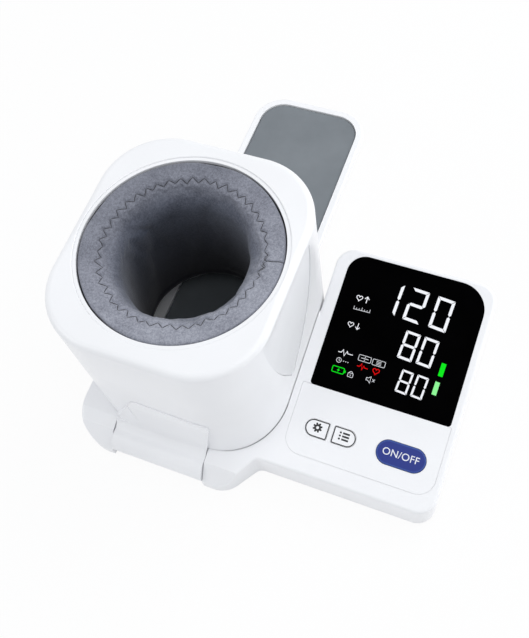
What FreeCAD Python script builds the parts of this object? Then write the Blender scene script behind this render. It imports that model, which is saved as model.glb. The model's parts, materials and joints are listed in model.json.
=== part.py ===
import FreeCAD, Part
import math
import os
import re

import Sketcher
from FreeCAD import Placement, Rotation, Vector

# Arm-in blood pressure monitor.
# Frame: millimetres, +Z up, X along the drum hinge, +Y towards the elbow tray.
# The origin is on the table, straight below the axis of the arm tunnel.

doc = FreeCAD.newDocument("ArmInMonitor")

# ---------------------------------------------------------------------------
# Driving dimensions
# ---------------------------------------------------------------------------
SIZES = {
    # base housing
    "foot_stand": 1.2,          # height of the housing above the table
    "seat_level": 30.0,         # top of the base where the drum stands
    "shell_wall": 2.6,
    "base_left": 78.6,          # left side, measured from the tunnel axis
    "shoulder_cut": 42.5,       # length of the rear corners cut off under the drum
    "ear_depth": 12.5,          # ear's front, ahead of the hinge axis
    "ear_right": 50.2,          # right corner of the ear's front
    "ear_angle": 56.0,          # degrees, the ear's right side running back to the panel
    "crease_reach": 1.0,        # where the ear's flat top turns down, ahead of the hinge axis
    "ear_nose_height": 10.0,
    "ear_left_round": 27.0,
    "ear_right_round": 20.0,
    # control panel
    "panel_left": 78.9,
    "panel_right": 202.0,
    "panel_front": 82.0,
    "panel_back": 87.5,
    "panel_tilt": 14.3,         # degrees, rising to the rear
    "panel_round": 14.0,
    "panel_inner_round": 8.0,   # hollow corner between ear and panel
    "panel_edge_round": 2.4,
    # elbow tray and its pad
    "tray_half_width": 53.0,    # at the tunnel axis
    "tray_taper": 2.4,          # lost on each side at the rear end
    "tray_back": 245.0,
    "tray_start": 60.0,
    "tray_lip": 2.0,            # upright part of the rim
    "tray_undercut": 18.0,      # degrees, the sides leaning in below the rim
    "tray_round": 26.0,
    "tray_edge_round": 1.4,
    "pad_margin": 6.0,
    "pad_front": 62.0,
    "pad_thick": 4.0,
    "pad_sink": 1.0,            # pad surface below the tray rim
    "pad_round": 21.0,
    "pad_gap": 0.3,
    # drum housing
    "drum_half_x": 78.0,
    "drum_half_y": 85.5,
    "drum_shift": -1.0,         # centre of the drum in Y
    "drum_top": 171.0,
    "drum_round": 49.0,
    "drum_wall": 3.2,
    "drum_lip_round": 5.0,
    "drum_rest_gap": 0.4,
    "stop_radius": 3.5,
    "stop_inset": 6.0,
    "well_gap": 0.5,
    "well_back_gap": 2.0,
    "foot_relief": 1.5,         # drum wall set back where it dips into the well as it tilts
    # tunnel
    "mouth_radius": 70.0,       # outer edge of the padded mouth
    "bezel_width": 3.0,
    "bezel_sink": 0.8,
    "bezel_thick": 3.0,
    "bezel_gap": 0.1,
    "mouth_bevel": 0.4,
    "seam_radius": 55.0,        # line of the zigzag stitch
    "lip_radius": 44.0,         # narrowest place of the tunnel
    "tail_radius": 47.0,        # tunnel radius at the lower end
    "lip_drop": 20.0,           # lip below the drum's top
    "tail_level": 50.0,         # lower end of the lining
    "lining_thick": 3.0,
    "bladder_thick": 9.0,
    "soft_gap": 0.3,
    "tube_wall": 2.2,
    # hinge
    "hinge_reach": 9.5,         # hinge axis ahead of the drum's front
    "hinge_level": 13.8,
    "hinge_middle": -7.5,
    "barrel_radius": 12.2,
    "barrel_length": 76.0,
    "hinge_gap": 0.7,
    "pin_radius": 4.0,
    "pin_bore": 2.4,
    "pin_fit": 0.05,
    "bush_wall": 1.6,
    "bush_length": 12.0,
    "ear_boss_radius": 7.0,
    "ear_boss_length": 12.0,
    "tongue_thick": 2.4,
    "channel_radius": 0.7,
    "tongue_left": -18.0,       # top corners of the tongue
    "tongue_left_level": 89.0,
    "tongue_right": 41.5,
    "tongue_right_level": 85.0,
    "tongue_flare_level": 36.5,
    "tongue_ramp_level": 79.0,  # the tongue's face leans back a little, and more above this level
    "tongue_ramp_thick": 2.0,
    "tongue_lip": 0.5,
    "knuckle_low": 46.0,        # screws through the drum's front into the tongue
    "knuckle_high": 64.0,
    "knuckle_left": 17.0,
    "knuckle_right": 31.0,
    "knuckle_bite": 1.2,
    "blend_radius": 8.0,        # hollow between the tongue and the barrel
    # display and keys, in the plane of the panel
    "window_left": 89.0,
    "window_width": 106.8,
    "window_front": 65.4,       # from the panel's front edge, along its slope
    "window_length": 105.4,
    "window_thick": 2.4,
    "window_proud": 0.2,
    "window_back_left_round": 14.0,
    "window_back_right_round": 21.0,
    "window_front_round": 2.5,
    "plate_left": 83.8,
    "plate_right": 196.8,
    "plate_front": 12.6,
    "plate_thick": 1.6,
    "plate_round": 13.0,
    "plate_gap": 0.15,
    "key_gap": 0.3,
    "key_flange": 0.65,
    "key_height": 6.0,
    "key_proud": 0.5,
    "start_x": 168.6,
    "keys_v": 34.8,
    "start_length": 36.6,
    "start_width": 17.8,
    "set_left": 95.8,
    "set_width": 17.4,
    "key_length": 12.8,
    "key_space": 3.8,
    # electronics and air parts
    "board_thick": 1.6,
    "display_thick": 5.0,
    "switch_size": 6.0,
    "switch_body": 3.4,
    "stem_radius": 1.7,
    "stroke_gap": 0.3,
    "key_travel": 0.9,
    "pump_radius": 13.5,
    "pump_length": 58.0,
    "pump_x": 118.0,
    "pump_y": 16.0,
    "manifold_y": -20.0,
    "cradle_wall": 2.0,
    "cradle_length": 12.0,
    "valve_side": 16.0,
    "valve_length": 26.0,
    "valve_x": 172.0,
    "cell_radius": 9.2,
    "cell_length": 65.0,
    "cell_gap": 0.4,
    "cell_x": 112.0,
    "cell_y": 56.0,
    "hose_radius": 2.2,
    "inlet_x": 172.0,
    "inlet_width": 9.0,
    "inlet_height": 3.4,
    "inlet_depth": 7.5,
    "inlet_level": 14.0,
    # cover, feet and screws
    "cover_thick": 2.8,
    "cover_gap": 0.3,
    "foot_radius": 7.0,
    "foot_sink": 1.0,
    "screw_radius": 1.5,
    "screw_head_radius": 2.9,
    "screw_head": 2.0,
    "post_radius": 4.0,
    # side grips
    "grip_back": 32.0,
    "grip_front": 49.0,
    "grip_top": 163.0,
    "grip_point_y": -21.0,
    "grip_point_level": 63.0,
    "grip_sink": 1.6,
    "grip_thick": 0.9,
    "grip_gap": 0.25,
    "grip_back_bow": 118.0,
    "grip_front_bow": 230.0,
}

# Places worked out from the driving dimensions.
DERIVED = {
    "drum_front": "drum_half_y - drum_shift",
    "drum_rear": "drum_half_y + drum_shift",
    "drum_floor": "seat_level + drum_rest_gap",
    "hinge_y": "drum_front + hinge_reach",
    "ear_front": "hinge_y + ear_depth",
    "ear_crease": "hinge_y + crease_reach",
    "ear_run": "(ear_front - panel_front) / tan(ear_angle)",
    "base_back": "drum_rear",
    "base_shoulder": "drum_rear - shoulder_cut",
    "well_corner": "drum_rear - drum_round",
    "slope_at_front": "seat_level + (drum_front - panel_front) * tan(panel_tilt)",
    "crease_level": "seat_level - (ear_crease - drum_front) * tan(panel_tilt)",
    "cover_top": "foot_stand + cover_thick",
    "pad_top": "seat_level - pad_sink",
    "pad_floor": "pad_top - pad_thick",
    "pad_half": "tray_half_width - pad_margin",
    "pad_back": "tray_back - pad_margin",
    "bezel_top": "drum_top - bezel_sink",
    "bezel_floor": "bezel_top - bezel_thick",
    "mouth_hole": "mouth_radius + bezel_width",
    "lip_level": "drum_top - lip_drop",
    "bladder_outer": "tail_radius + lining_thick + bladder_thick",
    "tube_inner": "bladder_outer",
    "cone_top": "bezel_floor - 3.4",
    "cone_floor": "bezel_floor - 13",
    "cone_rise": "(cone_top - cone_floor) / (mouth_hole - 1 - tube_inner)",
    "flange_radius": "drum_half_x - drum_wall - 0.3",
    "drum_hose_level": "seat_level + 36",
    "pump_level": "cover_top + pump_radius + 2.5",
    "hose_x": "slot_right + 20",
    "pin_end": "slot_right + ear_boss_length + shell_wall - 1",
    "tube_outer": "tube_inner + tube_wall",
    "ring_thick": "drum_wall",
    "ring_top": "drum_floor + ring_thick",
    "tongue_face": "drum_front + tongue_thick",
    "blend_reach": "tongue_face + blend_radius - hinge_y",
    "blend_rise": "sqrt((barrel_radius + blend_radius) * (barrel_radius + blend_radius) - blend_reach * blend_reach)",
    "blend_share": "barrel_radius / (barrel_radius + blend_radius)",
    "barrel_left": "hinge_middle - barrel_length / 2",
    "barrel_right": "hinge_middle + barrel_length / 2",
    "slot_left": "barrel_left - hinge_gap",
    "slot_right": "barrel_right + hinge_gap",
    "slot_back": "hinge_y - barrel_radius - hinge_gap",
    "bush_radius": "pin_radius + pin_fit + bush_wall",
    "window_right": "window_left + window_width",
    "window_back": "window_front + window_length",
    "plate_back": "window_front - plate_gap",
    "set_right": "set_left + set_width",
    "memory_left": "set_right + key_space",
    "memory_right": "memory_left + set_width",
    "key_foot": "key_height - key_proud",
    "stem_end": "key_foot + key_travel + stroke_gap",
    "board_top": "key_foot + key_travel + stroke_gap + switch_body",
    "display_top": "window_thick - window_proud",
    "cell_level": "cover_top + cradle_wall + cell_radius",
}

sheet = doc.addObject("Spreadsheet::Sheet", "Sizes")
for row, (alias, number) in enumerate(SIZES.items(), start=1):
    sheet.set("A%d" % row, alias)
    sheet.set("B%d" % row, str(number))
    sheet.setAlias("B%d" % row, alias)
doc.recompute()

# A loose object whose only number is bound to an expression, to read it back.
gauge = doc.addObject("App::FeaturePython", "Gauge")
gauge.addProperty("App::PropertyFloat", "Reading")

WORD = re.compile(r"[a-z][a-z0-9_]*")
KNOWN = {}
NODES = {}


# ---------------------------------------------------------------------------
# Helpers
# ---------------------------------------------------------------------------
def expr(text):
    """Turn names of sizes and places into an expression on the sheet."""
    def swap(match):
        word = match.group(0)
        if word in DERIVED:
            return "(" + expr(DERIVED[word]) + ")"
        if word in SIZES:
            return "Sizes." + word
        return word
    return WORD.sub(swap, str(text))


def value(text):
    """The present number behind an expression."""
    if text not in KNOWN:
        gauge.setExpression("Reading", expr(text))
        gauge.recompute()
        KNOWN[text] = gauge.Reading
    return KNOWN[text]


def bind(item, path, text):
    item.setExpression(path, expr(text))


def node(label, item):
    """Register a finished sub-part under its own label."""
    item.Label = label
    NODES[label] = item
    return item


def body(name):
    return doc.addObject("PartDesign::Body", name)


def sketch(holder, role, level="0"):
    """An empty sketch on one of the body's own origin planes."""
    plane = next(f for f in holder.Origin.OriginFeatures if f.Role == role)
    made = holder.newObject("Sketcher::SketchObject", "Sketch")
    made.AttachmentSupport = [(plane, "")]
    made.MapMode = "FlatFace"
    bind(made, "AttachmentOffset.Base.z", level)
    return made


def fix_point(made, index, end, x, y):
    """Tie one end of a line to the sketch origin by two bound distances."""
    k = made.addConstraint(Sketcher.Constraint("DistanceX", -1, 1, index, end, value(x)))
    bind(made, "Constraints[%d]" % k, x)
    k = made.addConstraint(Sketcher.Constraint("DistanceY", -1, 1, index, end, value(y)))
    bind(made, "Constraints[%d]" % k, y)


def arc_between(start, stop, radius, left):
    """Arc of a circle from start to stop, bulging to the left or right of the way."""
    chord = stop - start
    rise = math.sqrt(max(radius ** 2 - (chord.Length / 2) ** 2, 0))
    side = Vector(-chord.y, chord.x, 0).normalize() * (1 if left else -1)
    centre = (start + stop) * 0.5 - side * rise
    first, last = (stop, start) if left else (start, stop)
    low = math.atan2(first.y - centre.y, first.x - centre.x)
    high = math.atan2(last.y - centre.y, last.x - centre.x)
    if high < low:
        high += 2 * math.pi
    return Part.ArcOfCircle(Part.Circle(centre, Vector(0, 0, 1), radius), low, high)


def outline(made, corners):
    """Closed outline. A corner is (x, y) or, between lines along X and Y, (x, y, radius).
    A side that bows is written after its first corner as ("bow", radius, "left" or "right")."""
    marks = [c for c in corners if c[0] != "bow"]
    spots = [Vector(value(m[0]), value(m[1]), 0) for m in marks]
    bows = {}
    count = -1
    for c in corners:
        if c[0] == "bow":
            bows[count] = c
        else:
            count += 1
    runs = []                       # (x, y) text pairs and the radius text joining to the next
    for i, mark in enumerate(marks):
        if len(mark) == 2:
            runs.append((mark[0], mark[1], None, None))
            continue
        back, here, ahead = spots[i - 1], spots[i], spots[(i + 1) % len(spots)]
        ends = []
        for other in (back, ahead):
            way = other - here
            if abs(way.x) > abs(way.y):
                ends.append(("%s %s (%s)" % (mark[0], "+" if way.x > 0 else "-", mark[2]), mark[1]))
            else:
                ends.append((mark[0], "%s %s (%s)" % (mark[1], "+" if way.y > 0 else "-", mark[2])))
        turn = (here - back).cross(ahead - here).z
        runs.append((ends[0][0], ends[0][1], mark[2], "right" if turn > 0 else "left"))
        runs.append((ends[1][0], ends[1][1], None, None))
    order = [i for i, mark in enumerate(marks) for _ in range(1 if len(mark) == 2 else 2)]
    for i, bow in bows.items():
        k = max(n for n, o in enumerate(order) if o == i)
        runs[k] = (runs[k][0], runs[k][1], bow[1], bow[2])
    points = [Vector(value(r[0]), value(r[1]), 0) for r in runs]
    for i, run in enumerate(runs):
        start, stop = points[i], points[(i + 1) % len(points)]
        if run[2] is None:
            made.addGeometry(Part.LineSegment(start, stop))
        else:
            made.addGeometry(arc_between(start, stop, value(run[2]), run[3] == "left"))
    for i, run in enumerate(runs):
        following = (i + 1) % len(runs)
        ends = [start_of(made, i, points[i]), start_of(made, following, points[following])]
        mine = 2 if ends[0] == 1 else 1
        made.addConstraint(Sketcher.Constraint("Coincident", i, mine, following, ends[1]))
        fix_point(made, i, ends[0], run[0], run[1])
        if run[2] is not None:
            k = made.addConstraint(Sketcher.Constraint("Radius", i, value(run[2])))
            bind(made, "Constraints[%d]" % k, run[2])
    return made


def start_of(made, index, spot):
    """Which end of an element, 1 or 2, lies on the spot. An arc always runs anticlockwise."""
    geometry = made.Geometry[index]
    return 1 if (geometry.StartPoint - spot).Length < (geometry.EndPoint - spot).Length else 2


def circle(made, x, y, radius):
    index = made.addGeometry(Part.Circle(Vector(value(x), value(y), 0), Vector(0, 0, 1), value(radius)))
    fix_point(made, index, 3, x, y)
    k = made.addConstraint(Sketcher.Constraint("Radius", index, value(radius)))
    bind(made, "Constraints[%d]" % k, radius)
    return made


def pad(holder, profile, length, middle=False):
    made = holder.newObject("PartDesign::Pad", "Pad")
    made.Profile = profile
    bind(made, "Length", length)
    made.Midplane = middle
    return made


def pocket(holder, profile, through=True, length="1", flip=False):
    made = holder.newObject("PartDesign::Pocket", "Pocket")
    made.Profile = profile
    if through:
        made.Type = 1
        made.Midplane = True
    else:
        made.Reversed = flip
        bind(made, "Length", length)
    return made


def revolve(holder, profile):
    made = holder.newObject("PartDesign::Revolution", "Revolution")
    made.Profile = profile
    made.ReferenceAxis = (profile, ["V_Axis"])
    made.Angle = 360
    return made


def round_edges(holder, radius, wanted, kind="PartDesign::Fillet"):
    """Fillet or chamfer those edges of the body's tip for which wanted(edge) holds."""
    doc.recompute()
    tip = holder.Tip
    names = ["Edge%d" % (i + 1) for i, edge in enumerate(tip.Shape.Edges) if wanted(edge)]
    made = holder.newObject(kind, "Round")
    made.Base = (tip, names)
    bind(made, "Radius" if kind.endswith("Fillet") else "Size", radius)
    return made


def upright(edge):
    if len(edge.Vertexes) < 2:
        return False
    way = edge.Vertexes[1].Point - edge.Vertexes[0].Point
    return abs(way.z) > 0.7 * edge.Length


def near(edge, x, y, reach=0.05):
    """The edge passes the upright line through x, y at its lower end."""
    low = min((v.Point for v in edge.Vertexes), key=lambda p: p.z)
    return math.hypot(low.x - value(x), low.y - value(y)) < reach


def level_edge(edge, z):
    return all(abs(v.Point.z - value(z)) < 1e-4 for v in edge.Vertexes) and not upright(edge)


def place(item, x="0", y="0", z="0"):
    for axis, text in zip("xyz", (x, y, z)):
        bind(item, "Placement.Base." + axis, text)
    return item


def on_panel(item, x="0", v="0", w="0"):
    """Put an item in the panel's own frame: X, V up the slope, W out of the surface."""
    item.Placement = Placement(Vector(0, 0, 0), Rotation(Vector(1, 0, 0), value("panel_tilt")))
    bind(item, "Placement.Rotation.Angle", "panel_tilt")
    place(item, x, "-panel_front + (%s) * cos(panel_tilt) - (%s) * sin(panel_tilt)" % (v, w),
          "slope_at_front + (%s) * sin(panel_tilt) + (%s) * cos(panel_tilt)" % (v, w))
    return item


def slab(name, corners, low, high):
    """Upright prism over an outline."""
    holder = body(name)
    pad(holder, outline(sketch(holder, "XY_Plane", low), corners), "(%s) - (%s)" % (high, low))
    return holder


def rounded(x0, x1, y0, y1, radius):
    return [(x0, y0, radius), (x1, y0, radius), (x1, y1, radius), (x0, y1, radius)]


def sharp(x0, x1, y0, y1):
    return [(x0, y0), (x1, y0), (x1, y1), (x0, y1)]


def lathe(name, corners, x="0", y="0", z="0"):
    """Ring or disc about an upright axis, from its radius and height outline."""
    holder = body(name)
    revolve(holder, outline(sketch(holder, "XZ_Plane"), corners))
    return place(holder, x, y, z)


def rod(name, radius, length, x, y, z, way="x"):
    """Round bar along X, Y or Z from its starting point."""
    made = doc.addObject("Part::Cylinder", name)
    bind(made, "Radius", radius)
    bind(made, "Height", length)
    turn = {"x": Rotation(Vector(0, 1, 0), 90), "y": Rotation(Vector(1, 0, 0), -90), "z": Rotation()}
    made.Placement = Placement(Vector(0, 0, 0), turn[way])
    return place(made, x, y, z)


def block(name, x0, x1, y0, y1, z0, z1):
    made = doc.addObject("Part::Box", name)
    bind(made, "Length", "(%s) - (%s)" % (x1, x0))
    bind(made, "Width", "(%s) - (%s)" % (y1, y0))
    bind(made, "Height", "(%s) - (%s)" % (z1, z0))
    return place(made, x0, y0, z0)


def fuse(name, parts, tidy=True):
    made = doc.addObject("Part::MultiFuse", name)
    made.Shapes = parts
    made.Refine = tidy
    return made


def group(name, parts):
    made = doc.addObject("Part::Compound", name)
    made.Links = parts
    return made


def cut(name, base, tools):
    made = doc.addObject("Part::Cut", name)
    made.Base = base
    made.Tool = tools[0] if len(tools) == 1 else fuse(name + "_tools", tools)
    return made


def common(name, base, tool):
    made = doc.addObject("Part::Common", name)
    made.Base = base
    made.Tool = tool
    return made


# ---------------------------------------------------------------------------
# Base housing
# ---------------------------------------------------------------------------
def base_plan(inset):
    """Plan of ears, drum seat and panel. A positive inset shrinks it."""
    inset = "(%s)" % inset
    front_x = "ear_right - %s * tan(ear_angle / 2)" % inset
    back_x = "%s + ear_run" % front_x
    nose, hollow = "(ear_right_round - %s)" % inset, "(panel_inner_round + %s)" % inset
    lead, trail = "%s * tan(ear_angle / 2)" % nose, "%s * tan(ear_angle / 2)" % hollow
    return [
        ("-base_left + %s" % inset, "-ear_front + %s" % inset, "ear_left_round - %s" % inset),
        ("%s - %s" % (front_x, lead), "-ear_front + %s" % inset),
        ("bow", nose, "right"),
        ("%s + %s * cos(ear_angle)" % (front_x, lead), "-ear_front + %s + %s * sin(ear_angle)" % (inset, lead)),
        ("%s - %s * cos(ear_angle)" % (back_x, trail), "-panel_front + %s - %s * sin(ear_angle)" % (inset, trail)),
        ("bow", hollow, "left"),
        ("%s + %s" % (back_x, trail), "-panel_front + %s" % inset),
        ("panel_right - %s" % inset, "-panel_front + %s" % inset, "panel_round - %s" % inset),
        ("panel_right - %s" % inset, "panel_back - %s" % inset, "panel_round - %s" % inset),
        ("panel_left + %s" % inset, "panel_back - %s" % inset, "panel_round - %s" % inset),
        ("panel_left + %s" % inset, "well_corner - %s" % inset),
        ("base_shoulder - %s" % inset, "base_back - %s" % inset),
        ("-base_shoulder + %s" % inset, "base_back - %s" % inset),
        ("-base_left + %s" % inset, "base_shoulder - %s" % inset),
    ]


def base_block(name, inset):
    """Ears, drum seat and panel in one solid, its top following the slope."""
    solid = inset == "0"
    inset = "(%s)" % inset
    low = "foot_stand" if solid else "0"
    holder = slab(name, base_plan(inset), low, "seat_level + panel_back + panel_front")
    drop = "%s / cos(panel_tilt)" % inset
    above = outline(sketch(holder, "YZ_Plane"), [
        ("-ear_front + %s" % inset, "ear_nose_height - %s" % drop),
        ("-ear_crease", "crease_level - %s" % drop),
        ("panel_back + 5", "seat_level + (drum_front + panel_back + 5) * tan(panel_tilt) - %s" % drop),
        ("panel_back + 5", "seat_level + 2 * panel_back + panel_front"),
        ("-ear_front - 5", "seat_level + 2 * panel_back + panel_front"),
        ("-ear_front - 5", "ear_nose_height - %s" % drop),
    ])
    pocket(holder, above)
    if solid:
        round_edges(holder, "panel_edge_round", on_slope)
    # left of the drum's middle the top is level with the seat
    left = outline(sketch(holder, "XY_Plane", "seat_level - %s" % inset),
                   sharp("-base_left - 5", "-base_shoulder + 30", "-drum_front + %s" % inset, "base_back + 5"))
    pocket(holder, left, through=False, length="panel_back + panel_front", flip=True)
    # the drum's well
    reach = "(well_gap + %s)" % inset
    well = outline(sketch(holder, "XY_Plane", "seat_level - %s" % inset), rounded(
        "-drum_half_x - %s" % reach, "drum_half_x + %s" % reach,
        "-drum_front - %s" % reach, "drum_rear + well_back_gap + %s" % inset, "drum_round + %s" % reach))
    pocket(holder, well, through=False, length="panel_back + panel_front", flip=True)
    return holder


def on_slope(edge):
    """The edge lies in the sloping top, other than along the crease."""
    tilt = math.radians(value("panel_tilt"))
    crest = Vector(0, -value("ear_crease"), value("crease_level"))
    lean = Vector(0, -math.sin(tilt), math.cos(tilt))
    middle = edge.valueAt((edge.FirstParameter + edge.LastParameter) / 2)
    points = [v.Point for v in edge.Vertexes] + [middle]
    return all(abs((p - crest).dot(lean)) < 1e-3 for p in points) and max(p.y for p in points) > crest.y + 0.01


def tray(name, inset, low, high, rim_round=None):
    """Elbow tray: narrowing a little to the rear, undercut below its rim."""
    inset = "(%s)" % inset
    front = "tray_half_width - tray_taper * tray_start / tray_back - %s" % inset
    rear = "tray_half_width - tray_taper - %s" % inset
    plan = slab(name + "_plan", [
        ("-(%s)" % front, "tray_start"), (front, "tray_start"),
        (rear, "tray_back - %s" % inset), ("-(%s)" % rear, "tray_back - %s" % inset)], low, high)
    back = value("tray_back - 60")
    round_edges(plan, "tray_round - %s" % inset,
                lambda e: upright(e) and min(v.Point.y for v in e.Vertexes) > back)
    if rim_round:
        round_edges(plan, rim_round, lambda e: level_edge(e, high))
    fall = "(seat_level - tray_lip + 5) * tan(tray_undercut)"
    rise = "(tray_lip + 5) * tan(tray_undercut)"
    across = body(name + "_across")
    pad(across, outline(sketch(across, "XZ_Plane", "-tray_back - 5"), [
        ("-(%s) + %s" % (front, fall), "-5"), ("%s - %s" % (front, fall), "-5"),
        ("%s + %s" % (front, rise), "seat_level + 5"), ("-(%s) - %s" % (front, rise), "seat_level + 5")]),
        "tray_back + 10")
    along = body(name + "_along")
    pad(along, outline(sketch(along, "YZ_Plane", "-tray_half_width - 20"), [
        ("0", "-5"), ("tray_back - %s - %s" % (inset, fall), "-5"),
        ("tray_back - %s + %s" % (inset, rise), "seat_level + 5"), ("0", "seat_level + 5")]),
        "2 * tray_half_width + 40")
    return common(name, common(name + "_sides", plan, across), along)


def pad_plan(grow):
    grow = "(%s)" % grow
    front = "pad_half + %s" % grow
    rear = "pad_half - tray_taper + %s" % grow
    return [("-(%s)" % front, "-pad_front - %s" % grow), (front, "-pad_front - %s" % grow),
            (rear, "pad_back + %s" % grow), ("-(%s)" % rear, "pad_back + %s" % grow)]


def pad_block(name, grow, low, high):
    holder = slab(name, pad_plan(grow), low, high)
    round_edges(holder, "pad_round + %s" % grow, upright)
    return holder


def build_base_shell():
    outer = base_block("base_block_outer", "0")
    board = tray("tray_outer", "0", "foot_stand", "seat_level", "tray_edge_round")
    inner = base_block("base_block_inner", "shell_wall")
    hollow = tray("tray_inner", "shell_wall", "0", "pad_floor - shell_wall")
    # the seat's floor drops under the pad, so the hollow drops with it
    under_pad = pad_block("under_pad", "shell_wall", "pad_floor - shell_wall", "seat_level + 1")
    slot_wall = block("slot_wall", "slot_left - shell_wall", "slot_right + shell_wall",
                      "-ear_front - 5", "-slot_back + shell_wall", "-1", "seat_level + 5")
    spaces = cut("base_space", fuse("base_hollow", [inner, hollow]), [under_pad, slot_wall])
    slot = block("hinge_slot", "slot_left", "slot_right", "-ear_front - 5", "-slot_back", "-1", "seat_level + 5")
    recess = pad_block("pad_recess", "pad_gap", "pad_floor", "seat_level + 1")
    shell = cut("base_walls", fuse("base_outer", [outer, board], tidy=False), [spaces, slot, recess])
    bosses = ear_bosses() + cover_posts() + window_ledges() + board_posts()
    return cut("base_shell_cut", fuse("base_with_bosses", [shell] + bosses),
               panel_openings() + pin_holes() + [inlet_hole()] + cover_screw_holes()
               + board_screw_cores("0", "-board_top - 1", "-board_top + 5", "board_thread"))


def ear_bosses():
    """Solid bosses behind the ears' inner walls, which hold the hinge pins."""
    left = rod("ear_boss_left", "ear_boss_radius", "ear_boss_length",
               "slot_left - shell_wall / 2 - ear_boss_length", "-hinge_y", "hinge_level")
    right = rod("ear_boss_right", "ear_boss_radius", "ear_boss_length",
                "slot_right + shell_wall / 2", "-hinge_y", "hinge_level")
    return [left, right]


def pin_holes():
    reach = "ear_boss_length + shell_wall"
    return [
        rod("pin_hole_left", "pin_radius", reach, "slot_left - %s" % reach, "-hinge_y", "hinge_level"),
        rod("pin_hole_right", "pin_radius", reach, "slot_right", "-hinge_y", "hinge_level"),
    ]


PANEL_ROOF = "slope_at_front + (%s + panel_front) * tan(panel_tilt) - shell_wall + 1.2"
POSTS = {
    # screw posts of the bottom cover: name, x, y, top
    "front_left": ("-base_left + 20", "-drum_front + 14", "seat_level - 1"),
    "rear_left": ("-base_left + 20", "base_shoulder - 16", "seat_level - 1"),
    "panel_front_left": ("panel_left + 16", "-panel_front + 9", PANEL_ROOF % "(-panel_front + 9)"),
    "panel_front_right": ("panel_right - 12", "-panel_front + 9", PANEL_ROOF % "(-panel_front + 9)"),
    "panel_rear_right": ("panel_right - 16", "panel_back - shell_wall - post_radius + 0.8", "36"),
    "panel_rear_left": ("panel_left + 16", "panel_back - shell_wall - post_radius + 0.8", "36"),
    "tray_left": ("-pad_half + 20", "tray_back - 34", "pad_floor - 1"),
    "tray_right": ("pad_half - 20", "tray_back - 34", "pad_floor - 1"),
}


def cover_posts():
    return [rod("post_" + name, "post_radius", "(%s) - cover_top" % top, x, y, "cover_top", "z")
            for name, (x, y, top) in POSTS.items()]


BOARD_POSTS = [("panel_left + 11", "plate_front + 8"), ("panel_right - 11", "plate_front + 8"),
               ("panel_left + 11", "window_front - 8"), ("panel_right - 11", "window_front - 8"),
               ("start_x - start_length / 2 - 8", "plate_front + 8"),
               ("start_x - start_length / 2 - 8", "window_front - 8")]


def board_posts():
    """Short posts under the sloping top, which carry the main board."""
    made = []
    for k, (x, v) in enumerate(BOARD_POSTS):
        holder = body("board_post_%d" % k)
        pad(holder, circle(sketch(holder, "XY_Plane", "-board_top"), x, v, "2.8"), "board_top - plate_thick - 0.4")
        made.append(on_panel(holder))
    return made


def board_screw_cores(grow, low, high, name):
    made = []
    for k, (x, v) in enumerate(BOARD_POSTS):
        holder = body("%s_%d" % (name, k))
        profile = circle(sketch(holder, "XY_Plane", low), x, v, "1.0 + %s" % grow)
        pad(holder, profile, "(%s) - (%s)" % (high, low))
        made.append(on_panel(holder))
    return made


def cover_screw_holes():
    return [rod("post_hole_" + name, "screw_radius", "9", x, y, "cover_top - 1", "z")
            for name, (x, y, top) in POSTS.items()]


def window_plan(grow, front_round="window_front_round"):
    grow = "(%s)" % grow
    return [
        ("window_left - %s" % grow, "window_front - %s" % grow, "%s + %s" % (front_round, grow)),
        ("window_right + %s" % grow, "window_front - %s" % grow, "%s + %s" % (front_round, grow)),
        ("window_right + %s" % grow, "window_back + %s" % grow, "window_back_right_round + %s" % grow),
        ("window_left - %s" % grow, "window_back + %s" % grow, "window_back_left_round + %s" % grow),
    ]


def plate_plan(grow):
    grow = "(%s)" % grow
    return [
        ("plate_left - %s" % grow, "plate_front - %s" % grow, "plate_round + %s" % grow),
        ("plate_right + %s" % grow, "plate_front - %s" % grow, "plate_round + %s" % grow),
        ("plate_right + %s" % grow, "plate_back + %s" % grow, "1.2"),
        ("plate_left - %s" % grow, "plate_back + %s" % grow, "1.2"),
    ]


def pill(x0, x1, v0, v1, grow, left=True, right=True, corner="1.2"):
    """Outline of a key: each end is a half round or nearly square."""
    half = "((%s) - (%s)) / 2 + %s - 0.01" % (v1, v0, grow)
    ends = {True: half, False: corner}
    return [("%s - %s" % (x0, grow), "%s - %s" % (v0, grow), ends[left]),
            ("%s + %s" % (x1, grow), "%s - %s" % (v0, grow), ends[right]),
            ("%s + %s" % (x1, grow), "%s + %s" % (v1, grow), ends[right]),
            ("%s - %s" % (x0, grow), "%s + %s" % (v1, grow), ends[left])]


KEYS = {
    "start_stop_button": ("start_x - start_length / 2", "start_x + start_length / 2",
                          "keys_v - start_width / 2", "keys_v + start_width / 2", True, True),
    "set_button": ("set_left", "set_right", "keys_v - key_length / 2", "keys_v + key_length / 2", True, False),
    "memory_button": ("memory_left", "memory_right", "keys_v - key_length / 2", "keys_v + key_length / 2",
                      False, True),
}


def key_holes(prefix, grow, low, high):
    made = []
    for name, (x0, x1, v0, v1, left, right) in KEYS.items():
        made.append(on_panel(slab(prefix + name, pill(x0, x1, v0, v1, grow, left, right), low, high)))
    return made


def panel_openings():
    """Pockets for the window and the key plate, and the openings below them."""
    seat = on_panel(slab("window_seat", window_plan("plate_gap"), "-window_thick + window_proud", "5"))
    view = on_panel(slab("window_view", window_plan("-3.5", "4.5"), "-window_thick - shell_wall - 12", "5"))
    plate = on_panel(slab("plate_seat", plate_plan("plate_gap"), "-plate_thick", "5"))
    return [seat, view, plate] + key_holes("shell_hole_", "1.0", "-shell_wall - 8", "5")


def window_ledges():
    """Thick frame under the top, which backs the window's seat."""
    frame = on_panel(slab("window_frame", window_plan("1.5"), "-window_thick - shell_wall", "-shell_wall + 0.6"))
    return [frame]


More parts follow.
